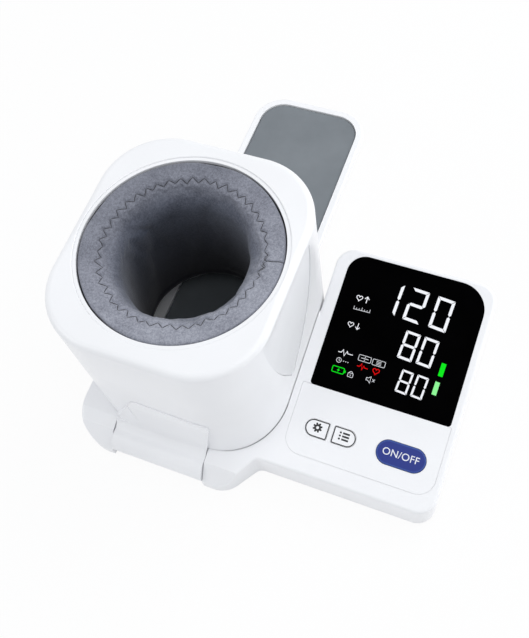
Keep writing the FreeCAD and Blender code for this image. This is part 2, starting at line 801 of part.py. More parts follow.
def inlet_hole():
    return block("inlet_hole", "inlet_x - inlet_width / 2 - 0.3", "inlet_x + inlet_width / 2 + 0.3",
                 "panel_back - shell_wall - 1", "panel_back + 2", "inlet_level - inlet_height / 2 - 0.3",
                 "inlet_level + inlet_height / 2 + 0.3")


def build_bottom_cover():
    gap = "(shell_wall + cover_gap)"
    plate = slab("cover_plate", base_plan(gap), "foot_stand", "cover_top")
    strip = common("cover_strip", tray("cover_tray", gap, "0", "seat_level"),
                   block("cover_slice", "-tray_half_width", "tray_half_width", "0", "tray_back",
                         "foot_stand", "cover_top"))
    slot = block("cover_slot", "slot_left - shell_wall - cover_gap", "slot_right + shell_wall + cover_gap",
                 "-ear_front - 5", "-slot_back + shell_wall + cover_gap", "-1", "seat_level")
    holes = [rod("cover_hole_" + name, "screw_radius + 0.2", "cover_thick + 2", x, y, "foot_stand - 1", "z")
             for name, (x, y, top) in POSTS.items()]
    heads = [rod("cover_head_" + name, "screw_head_radius + 0.2", "screw_head + 1", x, y, "foot_stand - 1", "z")
             for name, (x, y, top) in POSTS.items()]
    sockets = [rod("foot_socket_" + name, "foot_radius", "foot_sink + 1", x, y, "foot_stand - 1", "z")
               for name, (x, y) in FEET.items()]
    return cut("bottom_cover_cut", fuse("cover_outline", [plate, strip]), [slot] + holes + heads + sockets)


FEET = {
    "middle": ("0", "0"),
    "ear_left": ("-base_left + 16", "-ear_front + 22"),
    "ear_right": ("ear_right - 2.2", "-ear_front + 18"),
    "panel_front": ("panel_right - 16", "-panel_front + 26"),
    "panel_rear": ("panel_right - 16", "panel_back - 24"),
    "rear_left": ("-base_shoulder - 6", "base_shoulder + 6"),
    "tray_left": ("-pad_half + 20", "tray_back - 22"),
    "tray_right": ("pad_half - 20", "tray_back - 22"),
}


def build_feet():
    """Round rubber feet with a bevelled rim, standing on the table."""
    made = []
    for name, (x, y) in FEET.items():
        made.append(lathe("foot_" + name, [
            ("0", "0"), ("foot_radius - 1", "0"), ("foot_radius - 0.4", "foot_stand / 2"),
            ("foot_radius - 0.4", "foot_stand + foot_sink"), ("0", "foot_stand + foot_sink")], x, y))
    return group("feet", made)


# ---------------------------------------------------------------------------
# Drum
# ---------------------------------------------------------------------------
def drum_block(name, inset, low, high):
    inset = "(%s)" % inset
    return slab(name, rounded("-drum_half_x + %s" % inset, "drum_half_x - %s" % inset,
                              "-drum_front + %s" % inset, "drum_rear - %s" % inset,
                              "drum_round - %s" % inset), low, high)


def grip_plan(grow):
    """Leaf outline of the side grip, in Y and Z: straight top, point below."""
    grow = "(%s)" % grow
    return [
        ("-grip_front - %s" % grow, "grip_top + %s" % grow),
        ("bow", "grip_front_bow", "right"),
        ("grip_point_y - 1.5 * (1 + %s)" % grow, "grip_point_level - %s" % grow),
        ("grip_point_y + 1.5 * (1 + %s)" % grow, "grip_point_level - %s" % grow),
        ("bow", "grip_back_bow", "right"),
        ("grip_back + %s" % grow, "grip_top + %s" % grow),
    ]


def grip_prism(name, grow, side):
    holder = body(name)
    level = "drum_half_x - 12" if side > 0 else "-drum_half_x - 6"
    pad(holder, outline(sketch(holder, "YZ_Plane", level), grip_plan(grow)), "18")
    return holder


def build_drum_shell():
    outer = drum_block("drum_outer", "0", "drum_floor", "drum_top")
    round_edges(outer, "drum_lip_round", lambda e: level_edge(e, "drum_top"))
    inner = drum_block("drum_inner", "drum_wall", "drum_floor - 1", "drum_top - drum_wall")
    hole = lathe("mouth_hole_cut", [
        ("0", "drum_top - drum_wall - 1"), ("mouth_hole", "drum_top - drum_wall - 1"),
        ("mouth_hole", "drum_top - mouth_bevel"), ("mouth_hole + 1.5 * mouth_bevel", "drum_top"),
        ("mouth_hole + 1.5 * mouth_bevel", "drum_top + 1"), ("0", "drum_top + 1")])
    core = drum_block("grip_core", "grip_sink", "drum_floor - 1", "drum_top + 1")
    posts = fuse("drum_with_posts", [cut("drum_open", outer, [inner, hole])] + drum_posts())
    scoops = [cut("scoop_" + tag, grip_prism("scoop_prism_" + tag, "0", side), [core])
              for tag, side in (("right", 1), ("left", -1))]
    threads = [rod("drum_thread_%d" % k, "screw_radius", "9", x, y, "ring_top - 1", "z")
               for k, (x, y) in enumerate(DRUM_POSTS)]
    return cut("drum_shell_cut", posts, scoops + threads + [hose_hole(), foot_relief()]
               + knuckle_screw_rods("knuckle_screw_hole", "screw_radius", "-drum_front - 1", "drum_wall + 2"))


def foot_relief():
    """Thin shell off the front right corner of the foot, up to the slope of the base beside it."""
    start, end = "-drum_front - 2", "-drum_front + drum_round"
    skin = cut("relief_skin", drum_block("relief_outer", "-1", "drum_floor - 1", "drum_floor + drum_round"),
               [drum_block("relief_inner", "foot_relief", "drum_floor - 2", "drum_floor + drum_round + 1")])
    wedge = body("relief_wedge")
    pad(wedge, outline(sketch(wedge, "YZ_Plane", "tongue_right + 2"), [
        (start, "drum_floor - 1"), (end, "drum_floor - 1"),
        (end, "drum_floor + drum_round * tan(panel_tilt)"), (start, "drum_floor - 2 * tan(panel_tilt)")]),
        "drum_half_x")
    return common("foot_relief_cut", skin, wedge)


def hose_hole():
    """Where the air hose enters the drum from behind the hinge tongue."""
    return rod("drum_hose_hole", "hose_radius", "drum_wall + 2", "hinge_middle", "-drum_front - 1",
               "drum_hose_level", "y")


def build_grip(name, side):
    skin = drum_block(name + "_skin", "grip_sink - grip_thick", "drum_floor", "drum_top")
    core = drum_block(name + "_core", "grip_sink", "drum_floor - 1", "drum_top + 1")
    leaf = common(name + "_leaf", skin, grip_prism(name + "_prism", "-grip_gap", side))
    return cut(name + "_cut", leaf, [core])


def build_bezel():
    """White ring that frames the padded mouth, hung under the drum's top."""
    return lathe("bezel", [
        ("mouth_radius + 0.4", "bezel_floor"), ("flange_radius", "bezel_floor"),
        ("flange_radius", "drum_top - drum_wall"), ("mouth_hole - bezel_gap", "drum_top - drum_wall"),
        ("mouth_hole - bezel_gap", "bezel_top"), ("mouth_radius + 0.4", "bezel_top")])


def build_drum_ring():
    plate = drum_block("ring_plate", "drum_wall + 0.2", "drum_floor", "ring_top")
    hole = rod("ring_hole", "tube_inner", "ring_thick + 2", "0", "0", "drum_floor - 1", "z")
    collar = lathe("ring_collar", [
        ("tube_outer + 0.1", "ring_top - 1"), ("tube_outer + 2.5", "ring_top - 1"),
        ("tube_outer + 2.5", "ring_top + 8"), ("tube_outer + 0.1", "ring_top + 8")])
    shanks = [rod("ring_hole_%d" % k, "screw_radius", "ring_thick + 2", x, y, "drum_floor - 1", "z")
              for k, (x, y) in enumerate(DRUM_POSTS)]
    heads = [rod("ring_head_%d" % k, "screw_head_radius", "screw_head + 1", x, y, "drum_floor - 1", "z")
             for k, (x, y) in enumerate(DRUM_POSTS)]
    return fuse("drum_ring_fused", [cut("ring_open", plate, [hole] + shanks + heads), collar])


def build_tube():
    """Rigid tube round the air bladder, from the drum's ring to the bezel."""
    turned = lathe("tube_turned", [
        ("tube_inner", "ring_top"), ("tube_outer", "ring_top"),
        ("tube_outer", "bezel_floor - 14"), ("flange_radius", "bezel_floor - 4"),
        ("flange_radius", "bezel_floor"), ("mouth_hole - 1", "bezel_floor"),
        ("mouth_hole - 1", "cone_top"), ("tube_inner", "cone_floor")])
    passage = rod("tube_passage", "hose_radius", "8", "hinge_middle", "-tube_outer - 3", "drum_hose_level", "y")
    return cut("tube", turned, [passage])


def build_bladder():
    """Inflatable sleeve between tube and lining."""
    return lathe("bladder", [
        ("tail_radius + lining_thick + soft_gap", "tail_level + 4"), ("bladder_outer", "tail_level + 4"),
        ("bladder_outer", "lip_level - 2"), ("lip_radius + lining_thick + soft_gap + 1", "lip_level - 2")])


def build_lining():
    """Padded fabric sleeve with its rolled mouth, resting on the tube's cone."""
    return lathe("lining", [
        ("tail_radius", "tail_level"), ("tail_radius + lining_thick", "tail_level"),
        ("lip_radius + lining_thick", "lip_level - 1"), ("tube_inner", "cone_floor"),
        ("mouth_radius", "cone_floor + (mouth_radius - tube_inner) * cone_rise"),
        ("mouth_radius", "bezel_top - 1.5"),
        ("mouth_radius - 4", "bezel_top - 0.3"), ("mouth_radius - 9", "bezel_top - 0.8"),
        ("seam_radius", "bezel_top - 4"),
        ("lip_radius + 4", "lip_level + 8"), ("lip_radius + 0.6", "lip_level + 3"), ("lip_radius", "lip_level - 3")])


def build_stops():
    """Rubber stops let into the ring's rear, on which the drum rests on the base."""
    made = []
    for tag, x in (("left", "-drum_half_x + 26"), ("right", "drum_half_x - 26")):
        made.append(rod("stop_" + tag, "stop_radius", "drum_rest_gap - 0.1", x, "base_shoulder - stop_inset",
                        "seat_level + 0.1", "z"))
    return group("stops", made)


# ---------------------------------------------------------------------------
# Hinge
# ---------------------------------------------------------------------------
def build_knuckle():
    """Barrel between the ears, its tongue lying against the drum's front."""
    barrel = rod("knuckle_barrel", "barrel_radius", "barrel_length", "barrel_left", "-hinge_y", "hinge_level")
    web = body("knuckle_web")
    profile = outline(sketch(web, "YZ_Plane", "barrel_left"), [
        ("-hinge_y", "hinge_level + barrel_radius"), ("-hinge_y", "hinge_level - barrel_radius / 2"),
        ("-drum_front - 0.4", "hinge_level - barrel_radius / 2"),
        ("-drum_front - 0.4", "hinge_level + barrel_radius + 0.4")])
    pad(web, profile, "barrel_length")
    blend = body("knuckle_blend")
    pad(blend, outline(sketch(blend, "YZ_Plane", "barrel_left"), [
        ("-drum_front - 0.4", "hinge_level + blend_rise"), ("-tongue_face", "hinge_level + blend_rise"),
        ("bow", "blend_radius", "left"),
        ("-hinge_y - blend_reach * blend_share", "hinge_level + blend_rise * blend_share"),
        ("-hinge_y", "hinge_level"), ("-drum_front - 0.4", "hinge_level")]), "barrel_length")
    ramp = body("knuckle_ramp")
    pad(ramp, outline(sketch(ramp, "YZ_Plane", "tongue_left - 5"), [
        ("-tongue_face - 3", "tongue_flare_level"), ("-tongue_face", "tongue_flare_level"),
        ("-drum_front - tongue_ramp_thick", "tongue_ramp_level"),
        ("-drum_front - tongue_lip", "tongue_left_level + 1"), ("-tongue_face - 3", "tongue_left_level + 1")]),
        "tongue_right - tongue_left + 10")
    front = body("knuckle_front")
    shape = outline(sketch(front, "XZ_Plane", "drum_front - 20"), [
        ("barrel_left", "hinge_level + barrel_radius / 2"), ("barrel_right", "hinge_level + barrel_radius / 2"),
        ("barrel_right", "hinge_level + barrel_radius + 4"),
        ("tongue_right", "tongue_right_level"), ("tongue_left", "tongue_left_level"),
        ("barrel_left", "tongue_flare_level")])
    pad(front, shape, "24")
    round_edges(front, "6", lambda e: along_y(e) and e.Vertexes[0].Point.z > value("tongue_right_level - 1"))
    round_edges(front, "9", lambda e: along_y(e)
                and abs(e.Vertexes[0].Point.z - value("tongue_flare_level")) < 0.1)
    skin = drum_block("knuckle_skin", "-tongue_thick", "hinge_level", "drum_top")
    tongue = cut("knuckle_tongue", common("knuckle_plate", skin, front),
                 [drum_block("knuckle_back", "-0.05", "0", "drum_top + 1"), ramp])
    solid = fuse("knuckle_solid", [barrel, web, blend, tongue], tidy=False)
    bore = rod("knuckle_bore", "pin_radius + 1.2", "barrel_length + 2", "barrel_left - 1", "-hinge_y", "hinge_level")
    seats = [rod("bush_seat_left", "bush_radius", "bush_length + 1", "barrel_left - 1", "-hinge_y", "hinge_level"),
             rod("bush_seat_right", "bush_radius", "bush_length + 1", "barrel_right - bush_length",
                 "-hinge_y", "hinge_level")]
    return cut("knuckle_cut", solid, [bore] + seats + air_channel()
               + knuckle_screw_rods("knuckle_thread", "screw_radius", "-drum_front - knuckle_bite", "3"))


def air_channel():
    """Drilling from the hinge bore up the tongue to the drum's hose."""
    depth = "-drum_front - tongue_thick / 2"
    return [
        rod("channel_low", "channel_radius * 1.4", "5", "hinge_middle", "%s - 5" % depth, "hinge_level", "y"),
        rod("channel_up", "channel_radius", "drum_hose_level - hinge_level + 4 * channel_radius", "hinge_middle",
            depth, "hinge_level - 2 * channel_radius", "z"),
        rod("channel_out", "channel_radius * 0.7", "tongue_thick", "hinge_middle", depth, "drum_hose_level", "y"),
    ]


def along_y(edge):
    if len(edge.Vertexes) < 2:
        return False
    return abs((edge.Vertexes[1].Point - edge.Vertexes[0].Point).y) > 0.9 * edge.Length


def build_pins():
    reach = "ear_boss_length + shell_wall"
    left = rod("pin_left_bar", "pin_radius", "%s + bush_length + 6" % reach, "slot_left - %s + 1" % reach,
               "-hinge_y", "hinge_level")
    right = rod("pin_right_bar", "pin_radius", "%s + bush_length + 6" % reach, "slot_right - bush_length - 7",
                "-hinge_y", "hinge_level")
    hole = rod("pin_right_hole", "pin_bore", "%s + bush_length + 10" % reach, "slot_right - bush_length - 8",
               "-hinge_y", "hinge_level")
    return left, cut("pin_right_cut", right, [hole])


def build_bushes():
    made = []
    for tag, x in (("left", "barrel_left"), ("right", "barrel_right - bush_length")):
        bar = rod("bush_%s_bar" % tag, "bush_radius", "bush_length", x, "-hinge_y", "hinge_level")
        hole = rod("bush_%s_hole" % tag, "pin_radius + pin_fit", "bush_length + 2", "(%s) - 1" % x,
                   "-hinge_y", "hinge_level")
        made.append(cut("bush_" + tag, bar, [hole]))
    return group("bushes", made)


# ---------------------------------------------------------------------------
# Window, keys and electronics in the panel's frame
# ---------------------------------------------------------------------------
def build_window():
    holder = slab("window", window_plan("0"), "-window_thick + window_proud", "window_proud")
    round_edges(holder, "0.5", lambda e: level_edge(e, "window_proud"))
    return on_panel(holder)


def build_plate():
    holder = slab("plate", plate_plan("0"), "-plate_thick", "0")
    for x0, x1, v0, v1, left, right in KEYS.values():
        opening = outline(sketch(holder, "XY_Plane", "-plate_thick - 1"),
                          pill(x0, x1, v0, v1, "key_gap", left, right))
        pocket(holder, opening, through=False, length="plate_thick + 2", flip=True)
    return on_panel(holder)


def build_key(name):
    """Key cap whose wider foot is held under the key plate."""
    x0, x1, v0, v1, left, right = KEYS[name]
    holder = slab(name + "_cap", pill(x0, x1, v0, v1, "key_flange", left, right),
                  "-key_foot", "-plate_thick - key_gap")
    cap = outline(sketch(holder, "XY_Plane", "-plate_thick - key_gap"), pill(x0, x1, v0, v1, "0", left, right))
    pad(holder, cap, "plate_thick + key_gap + key_proud")
    round_edges(holder, "0.7", lambda e: level_edge(e, "key_proud"))
    return on_panel(holder)


def key_middle(name):
    x0, x1 = KEYS[name][:2]
    return "((%s) + (%s)) / 2" % (x0, x1)


def build_switches():
    made = []
    for name in KEYS:
        base = slab("switch_" + name, rounded(
            "%s - switch_size / 2" % key_middle(name), "%s + switch_size / 2" % key_middle(name),
            "keys_v - switch_size / 2", "keys_v + switch_size / 2", "0.6"),
            "-board_top", "-board_top + switch_body")
        stem = circle(sketch(base, "XY_Plane", "-board_top"), key_middle(name), "keys_v", "stem_radius")
        pad(base, stem, "switch_body + 0.15")
        made.append(on_panel(base))
    return group("switches", made)


def build_board():
    """Main board under the keys, held by six screws."""
    plate = on_panel(slab("board", sharp("panel_left + shell_wall + 3", "panel_right - shell_wall - 3",
                                         "plate_front + 4", "window_front - 3"),
                          "-board_top - board_thick", "-board_top"))
    return cut("board_cut", plate, board_screw_cores("0", "-board_top - board_thick - 1", "-board_top + 1",
                                                     "board_hole"))


def build_board_screws():
    shanks = board_screw_cores("0", "-board_top - board_thick", "-board_top + 4.5", "board_shank")
    heads = board_screw_cores("0.9", "-board_top - board_thick - 1.4", "-board_top - board_thick", "board_head")
    return group("board_screws", [fuse("board_screw_%d" % k, list(pair)) for k, pair in enumerate(zip(shanks, heads))])


def build_display():
    """Segment display module bonded to the underside of the window."""
    return on_panel(slab("display", window_plan("-4", "5"), "-display_top - display_thick", "-display_top"))


def build_buzzer():
    holder = body("buzzer")
    disc = circle(sketch(holder, "XY_Plane", "-board_top - board_thick - 5"), "memory_right + 2", "window_front - 14",
                  "6")
    pad(holder, disc, "5")
    return on_panel(holder)


# ---------------------------------------------------------------------------
# Air parts, battery and inlet on the bottom cover
# ---------------------------------------------------------------------------
def build_pump():
    motor = rod("pump_motor", "pump_radius", "pump_length", "pump_x - pump_length / 2", "pump_y", "pump_level")
    head = block("pump_head", "pump_x - pump_length / 2 - 6", "pump_x - pump_length / 2 + 10",
                 "pump_y - pump_radius + 1", "pump_y + pump_radius - 1", "pump_level - pump_radius + 1",
                 "pump_level + pump_radius - 1")
    spout = rod("pump_spout", "hose_radius", "5", "pump_x - pump_length / 2 - 11", "pump_y", "hinge_level")
    return fuse("pump", [motor, head, spout])


def build_cradle():
    made = []
    for tag, x in (("left", "pump_x - pump_length / 2 + 14"), ("right", "pump_x + pump_length / 2 - 16")):
        made.append(cut("cradle_" + tag, block("cradle_%s_block" % tag, x, "(%s) + cradle_length" % x,
                                               "pump_y - pump_radius - cradle_wall",
                                               "pump_y + pump_radius + cradle_wall", "cover_top", "pump_level"),
                        [rod("cradle_%s_bed" % tag, "pump_radius", "cradle_length + 2", "(%s) - 1" % x,
                             "pump_y", "pump_level")]))
    return group("cradles", made)


def build_manifold():
    """Small block that joins the hoses and carries the release valve."""
    core = block("manifold_core", "hose_x - 5", "hose_x + 5", "manifold_y - 9", "manifold_y + 9",
                 "cover_top", "hinge_level + 5")
    bore = rod("manifold_bore", "pin_bore - 1", "20", "hose_x", "manifold_y - 10", "hinge_level", "y")
    return cut("manifold", core, [bore])


def build_valve():
    coil = block("valve_coil", "hose_x + 9", "hose_x + 9 + valve_length", "manifold_y - valve_side / 2",
                 "manifold_y + valve_side / 2", "cover_top", "cover_top + valve_side")
    nose = rod("valve_nose", "3", "4", "hose_x + 5", "manifold_y", "hinge_level")
    return fuse("valve", [coil, nose])


def build_sensor():
    case = block("sensor_case", "hose_x - 16", "hose_x - 8", "manifold_y - 5", "manifold_y + 5",
                 "cover_top", "hinge_level + 3")
    nose = rod("sensor_nose", "1.6", "3", "hose_x - 8", "manifold_y", "hinge_level")
    return fuse("sensor", [case, nose])


def pipe(name, corners, bend):
    """Tube with tangent bends through corner points, from its own path."""
    spots = [Vector(*[value(c) for c in corner]) for corner in corners]
    reach = value(bend)
    edges = []
    last = spots[0]
    for back, here, ahead in zip(spots, spots[1:], spots[2:]):
        into = (here - back).normalize()
        away = (ahead - here).normalize()
        start, stop = here - into * reach, here + away * reach
        turn = into.cross(away)
        centre = start + turn.cross(into).normalize() * reach
        middle = centre + (here - centre).normalize() * reach
        edges += [Part.LineSegment(last, start).toShape(), Part.Arc(start, middle, stop).toShape()]
        last = stop
    edges.append(Part.LineSegment(last, spots[-1]).toShape())
    path = Part.Wire(edges)
    first = (spots[1] - spots[0]).normalize()
    ring = Part.Wire(Part.makeCircle(value("hose_radius"), spots[0], first))
    made = doc.addObject("Part::Feature", name)
    made.Shape = path.makePipeShell([ring], True, False)
    return made


def build_hoses():
    front = pipe("hose_front", [("pin_end", "-hinge_y", "hinge_level"), ("hose_x", "-hinge_y", "hinge_level"),
                                ("hose_x", "manifold_y - 9", "hinge_level")], "5")
    rear = pipe("hose_rear", [("hose_x", "manifold_y + 9", "hinge_level"), ("hose_x", "pump_y", "hinge_level"),
                              ("pump_x - pump_length / 2 - 11", "pump_y", "hinge_level")], "5")
    return group("hoses", [front, rear])


def build_battery():
    cells = [rod("cell_%d" % k, "cell_radius", "cell_length", "cell_x", y, "cell_level")
             for k, y in enumerate(("cell_y - cell_radius - cell_gap / 2", "cell_y + cell_radius + cell_gap / 2"))]
    strap = block("cell_strap", "cell_x + 2", "cell_x + cell_length - 2", "cell_y - 4", "cell_y + 4",
                  "cell_level - 5", "cell_level + 5")
    return fuse("battery", cells + [strap])


def build_holder():
    """Open box that holds the battery pack down on the cover."""
    box = block("holder_box", "cell_x - 0.2 - cradle_wall", "cell_x + cell_length + 0.2 + cradle_wall",
                "cell_y - 2 * cell_radius - cell_gap - cradle_wall",
                "cell_y + 2 * cell_radius + cell_gap + cradle_wall",
                "cover_top", "cell_level + 2")
    room = block("holder_room", "cell_x - 0.2", "cell_x + cell_length + 0.2", "cell_y - 2 * cell_radius - cell_gap",
                 "cell_y + 2 * cell_radius + cell_gap", "cover_top + cradle_wall", "cell_level + 5")
    return cut("holder", box, [room])


def build_inlet():
    """Flat receptacle for the charging lead, set in the rear wall."""
    shell = block("inlet_shell", "inlet_x - inlet_width / 2", "inlet_x + inlet_width / 2",
                  "panel_back - inlet_depth", "panel_back - 0.2", "inlet_level - inlet_height / 2",
                  "inlet_level + inlet_height / 2")
    room = block("inlet_room", "inlet_x - inlet_width / 2 + 0.4", "inlet_x + inlet_width / 2 - 0.4",
                 "panel_back - inlet_depth + 1", "panel_back + 1", "inlet_level - inlet_height / 2 + 0.4",
                 "inlet_level + inlet_height / 2 - 0.4")
    tongue = block("inlet_tongue", "inlet_x - inlet_width / 2 + 1.4", "inlet_x + inlet_width / 2 - 1.4",
                   "panel_back - inlet_depth + 0.5", "panel_back - 1.4", "inlet_level - 0.35", "inlet_level + 0.35")
    return fuse("inlet", [cut("inlet_can", shell, [room]), tongue])


def build_inlet_board():
    return block("inlet_bracket", "inlet_x - inlet_width / 2 - 2", "inlet_x + inlet_width / 2 + 2",
                 "panel_back - inlet_depth - 3", "panel_back - shell_wall - 0.2", "cover_top",
                 "inlet_level - inlet_height / 2")


def build_cover_screws():
    """Screws of the bottom cover, heads sunk below its face."""
    made = []
    for name, (x, y, top) in POSTS.items():
        head = rod("screw_head_" + name, "screw_head_radius", "screw_head", x, y, "foot_stand", "z")
        shank = rod("screw_shank_" + name, "screw_radius", "6", x, y, "foot_stand + screw_head", "z")
        made.append(fuse("screw_" + name, [head, shank]))
    return group("screws", made)


DRUM_POSTS = [("%sdrum_half_x * 0.757" % a, "%s" % b) for a in ("-", "") for b in
              ("-drum_front + 19", "drum_rear - 19")]


def drum_posts():
    return [rod("drum_post_%d" % k, "4.5", "22", x, y, "ring_top", "z") for k, (x, y) in enumerate(DRUM_POSTS)]


def build_drum_screws():
    made = []
    for k, (x, y) in enumerate(DRUM_POSTS):
        head = rod("drum_screw_head_%d" % k, "screw_head_radius", "screw_head", x, y, "drum_floor", "z")
        shank = rod("drum_screw_shank_%d" % k, "screw_radius", "9", x, y, "drum_floor + screw_head", "z")
        made.append(fuse("drum_screw_%d" % k, [head, shank]))
    return group("drum_screws", made)


KNUCKLE_SCREWS = [(x, z) for z in ("knuckle_low", "knuckle_high")
                  for x in ("hinge_middle - knuckle_left", "hinge_middle + knuckle_right")]


def knuckle_screw_rods(name, radius, start, length):
    return [rod("%s_%d" % (name, k), radius, length, x, start, z, "y") for k, (x, z) in enumerate(KNUCKLE_SCREWS)]


def build_knuckle_screws():
    shanks = knuckle_screw_rods("knuckle_shank", "screw_radius", "-drum_front - knuckle_bite",
                                "drum_wall + knuckle_bite")
    heads = knuckle_screw_rods("knuckle_head", "screw_head_radius", "-drum_front + drum_wall", "screw_head")
    return group("knuckle_screws", [fuse("knuckle_screw_%d" % k, list(pair))
                                    for k, pair in enumerate(zip(shanks, heads))])


def build_drum_hose():
    """Short air hose from the hinge tongue through the drum wall to the bladder."""
    return rod("drum_hose_rod", "hose_radius", "drum_front - bladder_outer + 0.4", "hinge_middle", "-drum_front",
               "drum_hose_level", "y")


# ---------------------------------------------------------------------------
# Build all, check and write
# ---------------------------------------------------------------------------
node("base_shell", build_base_shell())
node("bottom_cover", build_bottom_cover())
node("rubber_feet", build_feet())
node("arm_pad", pad_block("arm_pad_block", "0", "pad_floor", "pad_top"))
node("display_window", build_window())
node("key_plate", build_plate())
for key in KEYS:
    node(key, build_key(key))
node("key_switches", build_switches())
node("main_board", build_board())
node("display_module", build_display())
node("board_screws", build_board_screws())
node("buzzer", build_buzzer())
node("air_pump", build_pump())
node("pump_cradle", build_cradle())
node("air_manifold", build_manifold())
node("release_valve", build_valve())
node("pressure_sensor", build_sensor())
node("base_hose", build_hoses())
node("battery_pack", build_battery())
node("battery_holder", build_holder())
node("power_inlet", build_inlet())
node("inlet_bracket", build_inlet_board())
node("cover_screws", build_cover_screws())
node("drum_shell", build_drum_shell())
node("mouth_bezel", build_bezel())
node("drum_base_ring", build_drum_ring())
node("core_tube", build_tube())
node("air_bladder", build_bladder())
node("cuff_lining", build_lining())
node("side_grip_right", build_grip("grip_right", 1))
node("side_grip_left", build_grip("grip_left", -1))
node("rest_stops", build_stops())
node("drum_screws", build_drum_screws())
node("knuckle_screws", build_knuckle_screws())
node("drum_hose", build_drum_hose())
node("hinge_knuckle", build_knuckle())
pin_left, pin_right = build_pins()
node("hinge_pin_left", pin_left)
node("hinge_pin_right", pin_right)
node("hinge_bushes", build_bushes())

doc.recompute()
faults = ["%s: %s" % (item.Name, item.State) for item in doc.Objects
          if "Invalid" in item.State or "Error" in item.State]
for label, item in NODES.items():
    shape = item.Shape
    if shape.isNull() or not shape.isValid() or not shape.Solids:
        faults.append(label + ": no valid shape")
if faults:
    raise RuntimeError("; ".join(faults))

os.makedirs("parts", exist_ok=True)
for label, item in NODES.items():
    item.Shape.exportStep("parts/%s.step" % label)
    box = item.Shape.BoundBox
    print("%-20s %2d solids %10.1f mm3  x %.1f %.1f  y %.1f %.1f  z %.1f %.1f" % (
        label, len(item.Shape.Solids), item.Shape.Volume,
        box.XMin, box.XMax, box.YMin, box.YMax, box.ZMin, box.ZMax))
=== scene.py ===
"""Looks of an arm-in blood pressure monitor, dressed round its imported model. Units are metres."""
import json
import math

import bpy
import numpy as np
from mathutils import Matrix, Vector


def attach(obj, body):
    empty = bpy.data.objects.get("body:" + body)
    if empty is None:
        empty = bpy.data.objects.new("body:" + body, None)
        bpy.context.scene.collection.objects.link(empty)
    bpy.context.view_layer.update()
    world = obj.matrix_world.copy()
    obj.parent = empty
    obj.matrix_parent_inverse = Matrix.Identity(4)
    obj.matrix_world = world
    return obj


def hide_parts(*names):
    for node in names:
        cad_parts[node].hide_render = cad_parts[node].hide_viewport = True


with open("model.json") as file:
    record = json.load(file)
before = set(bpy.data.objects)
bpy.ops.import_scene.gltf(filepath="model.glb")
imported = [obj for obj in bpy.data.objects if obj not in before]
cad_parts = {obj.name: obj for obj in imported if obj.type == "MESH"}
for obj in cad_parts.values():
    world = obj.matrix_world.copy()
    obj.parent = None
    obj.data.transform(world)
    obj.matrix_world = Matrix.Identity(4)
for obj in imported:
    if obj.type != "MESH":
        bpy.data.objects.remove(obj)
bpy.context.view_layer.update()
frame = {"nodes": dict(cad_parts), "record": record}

MM = 0.001
FULL_TURN = 2 * math.pi
NODES = frame["nodes"]
RANDOM = np.random.default_rng(7)


# ---- Materials: noise scales are waves per metre, bump depths are metres ----
GRAIN_RANGE = (0.3, 0.7)    # most of a noise's values lie between these
FINE_GRAIN = 5200           # skin of a moulded or printed surface


def new_material(name):
    made = bpy.data.materials.new(name)
    made.use_nodes = True
    return made, made.node_tree, made.node_tree.nodes["Principled BSDF"]


def wire(tree, start, end):
    tree.links.new(start, end)


def calc(tree, operation, *values):
    """Math node fed by sockets and plain numbers."""
    made = tree.nodes.new("ShaderNodeMath")
    made.operation = operation
    for place, value in zip(made.inputs, values):
        if isinstance(value, (int, float)):
            place.default_value = value
        else:
            wire(tree, value, place)
    return made.outputs[0]


def object_point(tree, stretch=None):
    """Position on the object, in metres, stretched along its axes where a grain has a direction."""
    spot = tree.nodes.new("ShaderNodeTexCoord").outputs["Object"]
    if not stretch:
        return spot
    mapping = tree.nodes.new("ShaderNodeMapping")
    mapping.inputs["Scale"].default_value = stretch
    wire(tree, spot, mapping.inputs["Vector"])
    return mapping.outputs["Vector"]


def noise(tree, spot, scale, detail, rough=0.55):
    made = tree.nodes.new("ShaderNodeTexNoise")
    made.inputs["Scale"].default_value = scale
    made.inputs["Detail"].default_value = detail
    made.inputs["Roughness"].default_value = rough
    wire(tree, spot, made.inputs["Vector"])
    return made.outputs["Fac"]


def spread(tree, source, low, high, start=GRAIN_RANGE[0], stop=GRAIN_RANGE[1]):
    """Maps start ... stop of a value on to low ... high."""
    made = tree.nodes.new("ShaderNodeMapRange")
    for key, number in (("From Min", start), ("From Max", stop), ("To Min", low), ("To Max", high)):
        made.inputs[key].default_value = number
    wire(tree, source, made.inputs["Value"])
    return made.outputs["Result"]


def tones(tree, source, colours, places=None):
    """Colour ramp over a value, its colours evenly spaced unless their places are given."""
    ramp = tree.nodes.new("ShaderNodeValToRGB")
    places = places or [k / (len(colours) - 1) for k in range(len(colours))]
    ends = ramp.color_ramp.elements
    for k, (colour, place) in enumerate(zip(colours, places)):
        end = ends[k] if k < 2 else ends.new(place)
        end.position = place
        end.color = (*colour, 1.0)
    wire(tree, source, ramp.inputs["Fac"])
    return ramp.outputs["Color"]


def paint(tree, shader, source, dark, light):
    """Colour that varies with a grain."""
    wire(tree, tones(tree, source, [dark, light], GRAIN_RANGE), shader.inputs["Base Color"])


def dull(tree, shader, source, low, high):
    """Roughness that varies with a grain."""
    wire(tree, spread(tree, source, low, high), shader.inputs["Roughness"])


def bump(tree, shader, source, depth, strength=1.0, under=None):
    """Relief of a grain, over that of another bump where one is given."""
    made = tree.nodes.new("ShaderNodeBump")
    made.inputs["Strength"].default_value = strength
    made.inputs["Distance"].default_value = depth
    wire(tree, source, made.inputs["Height"])
    if under is not None:
        wire(tree, under, made.inputs["Normal"])
    wire(tree, made.outputs["Normal"], shader.inputs["Normal"])
    return made.outputs["Normal"]


def shade(colour, factor):
    return tuple(min(1.0, c * factor) for c in colour)


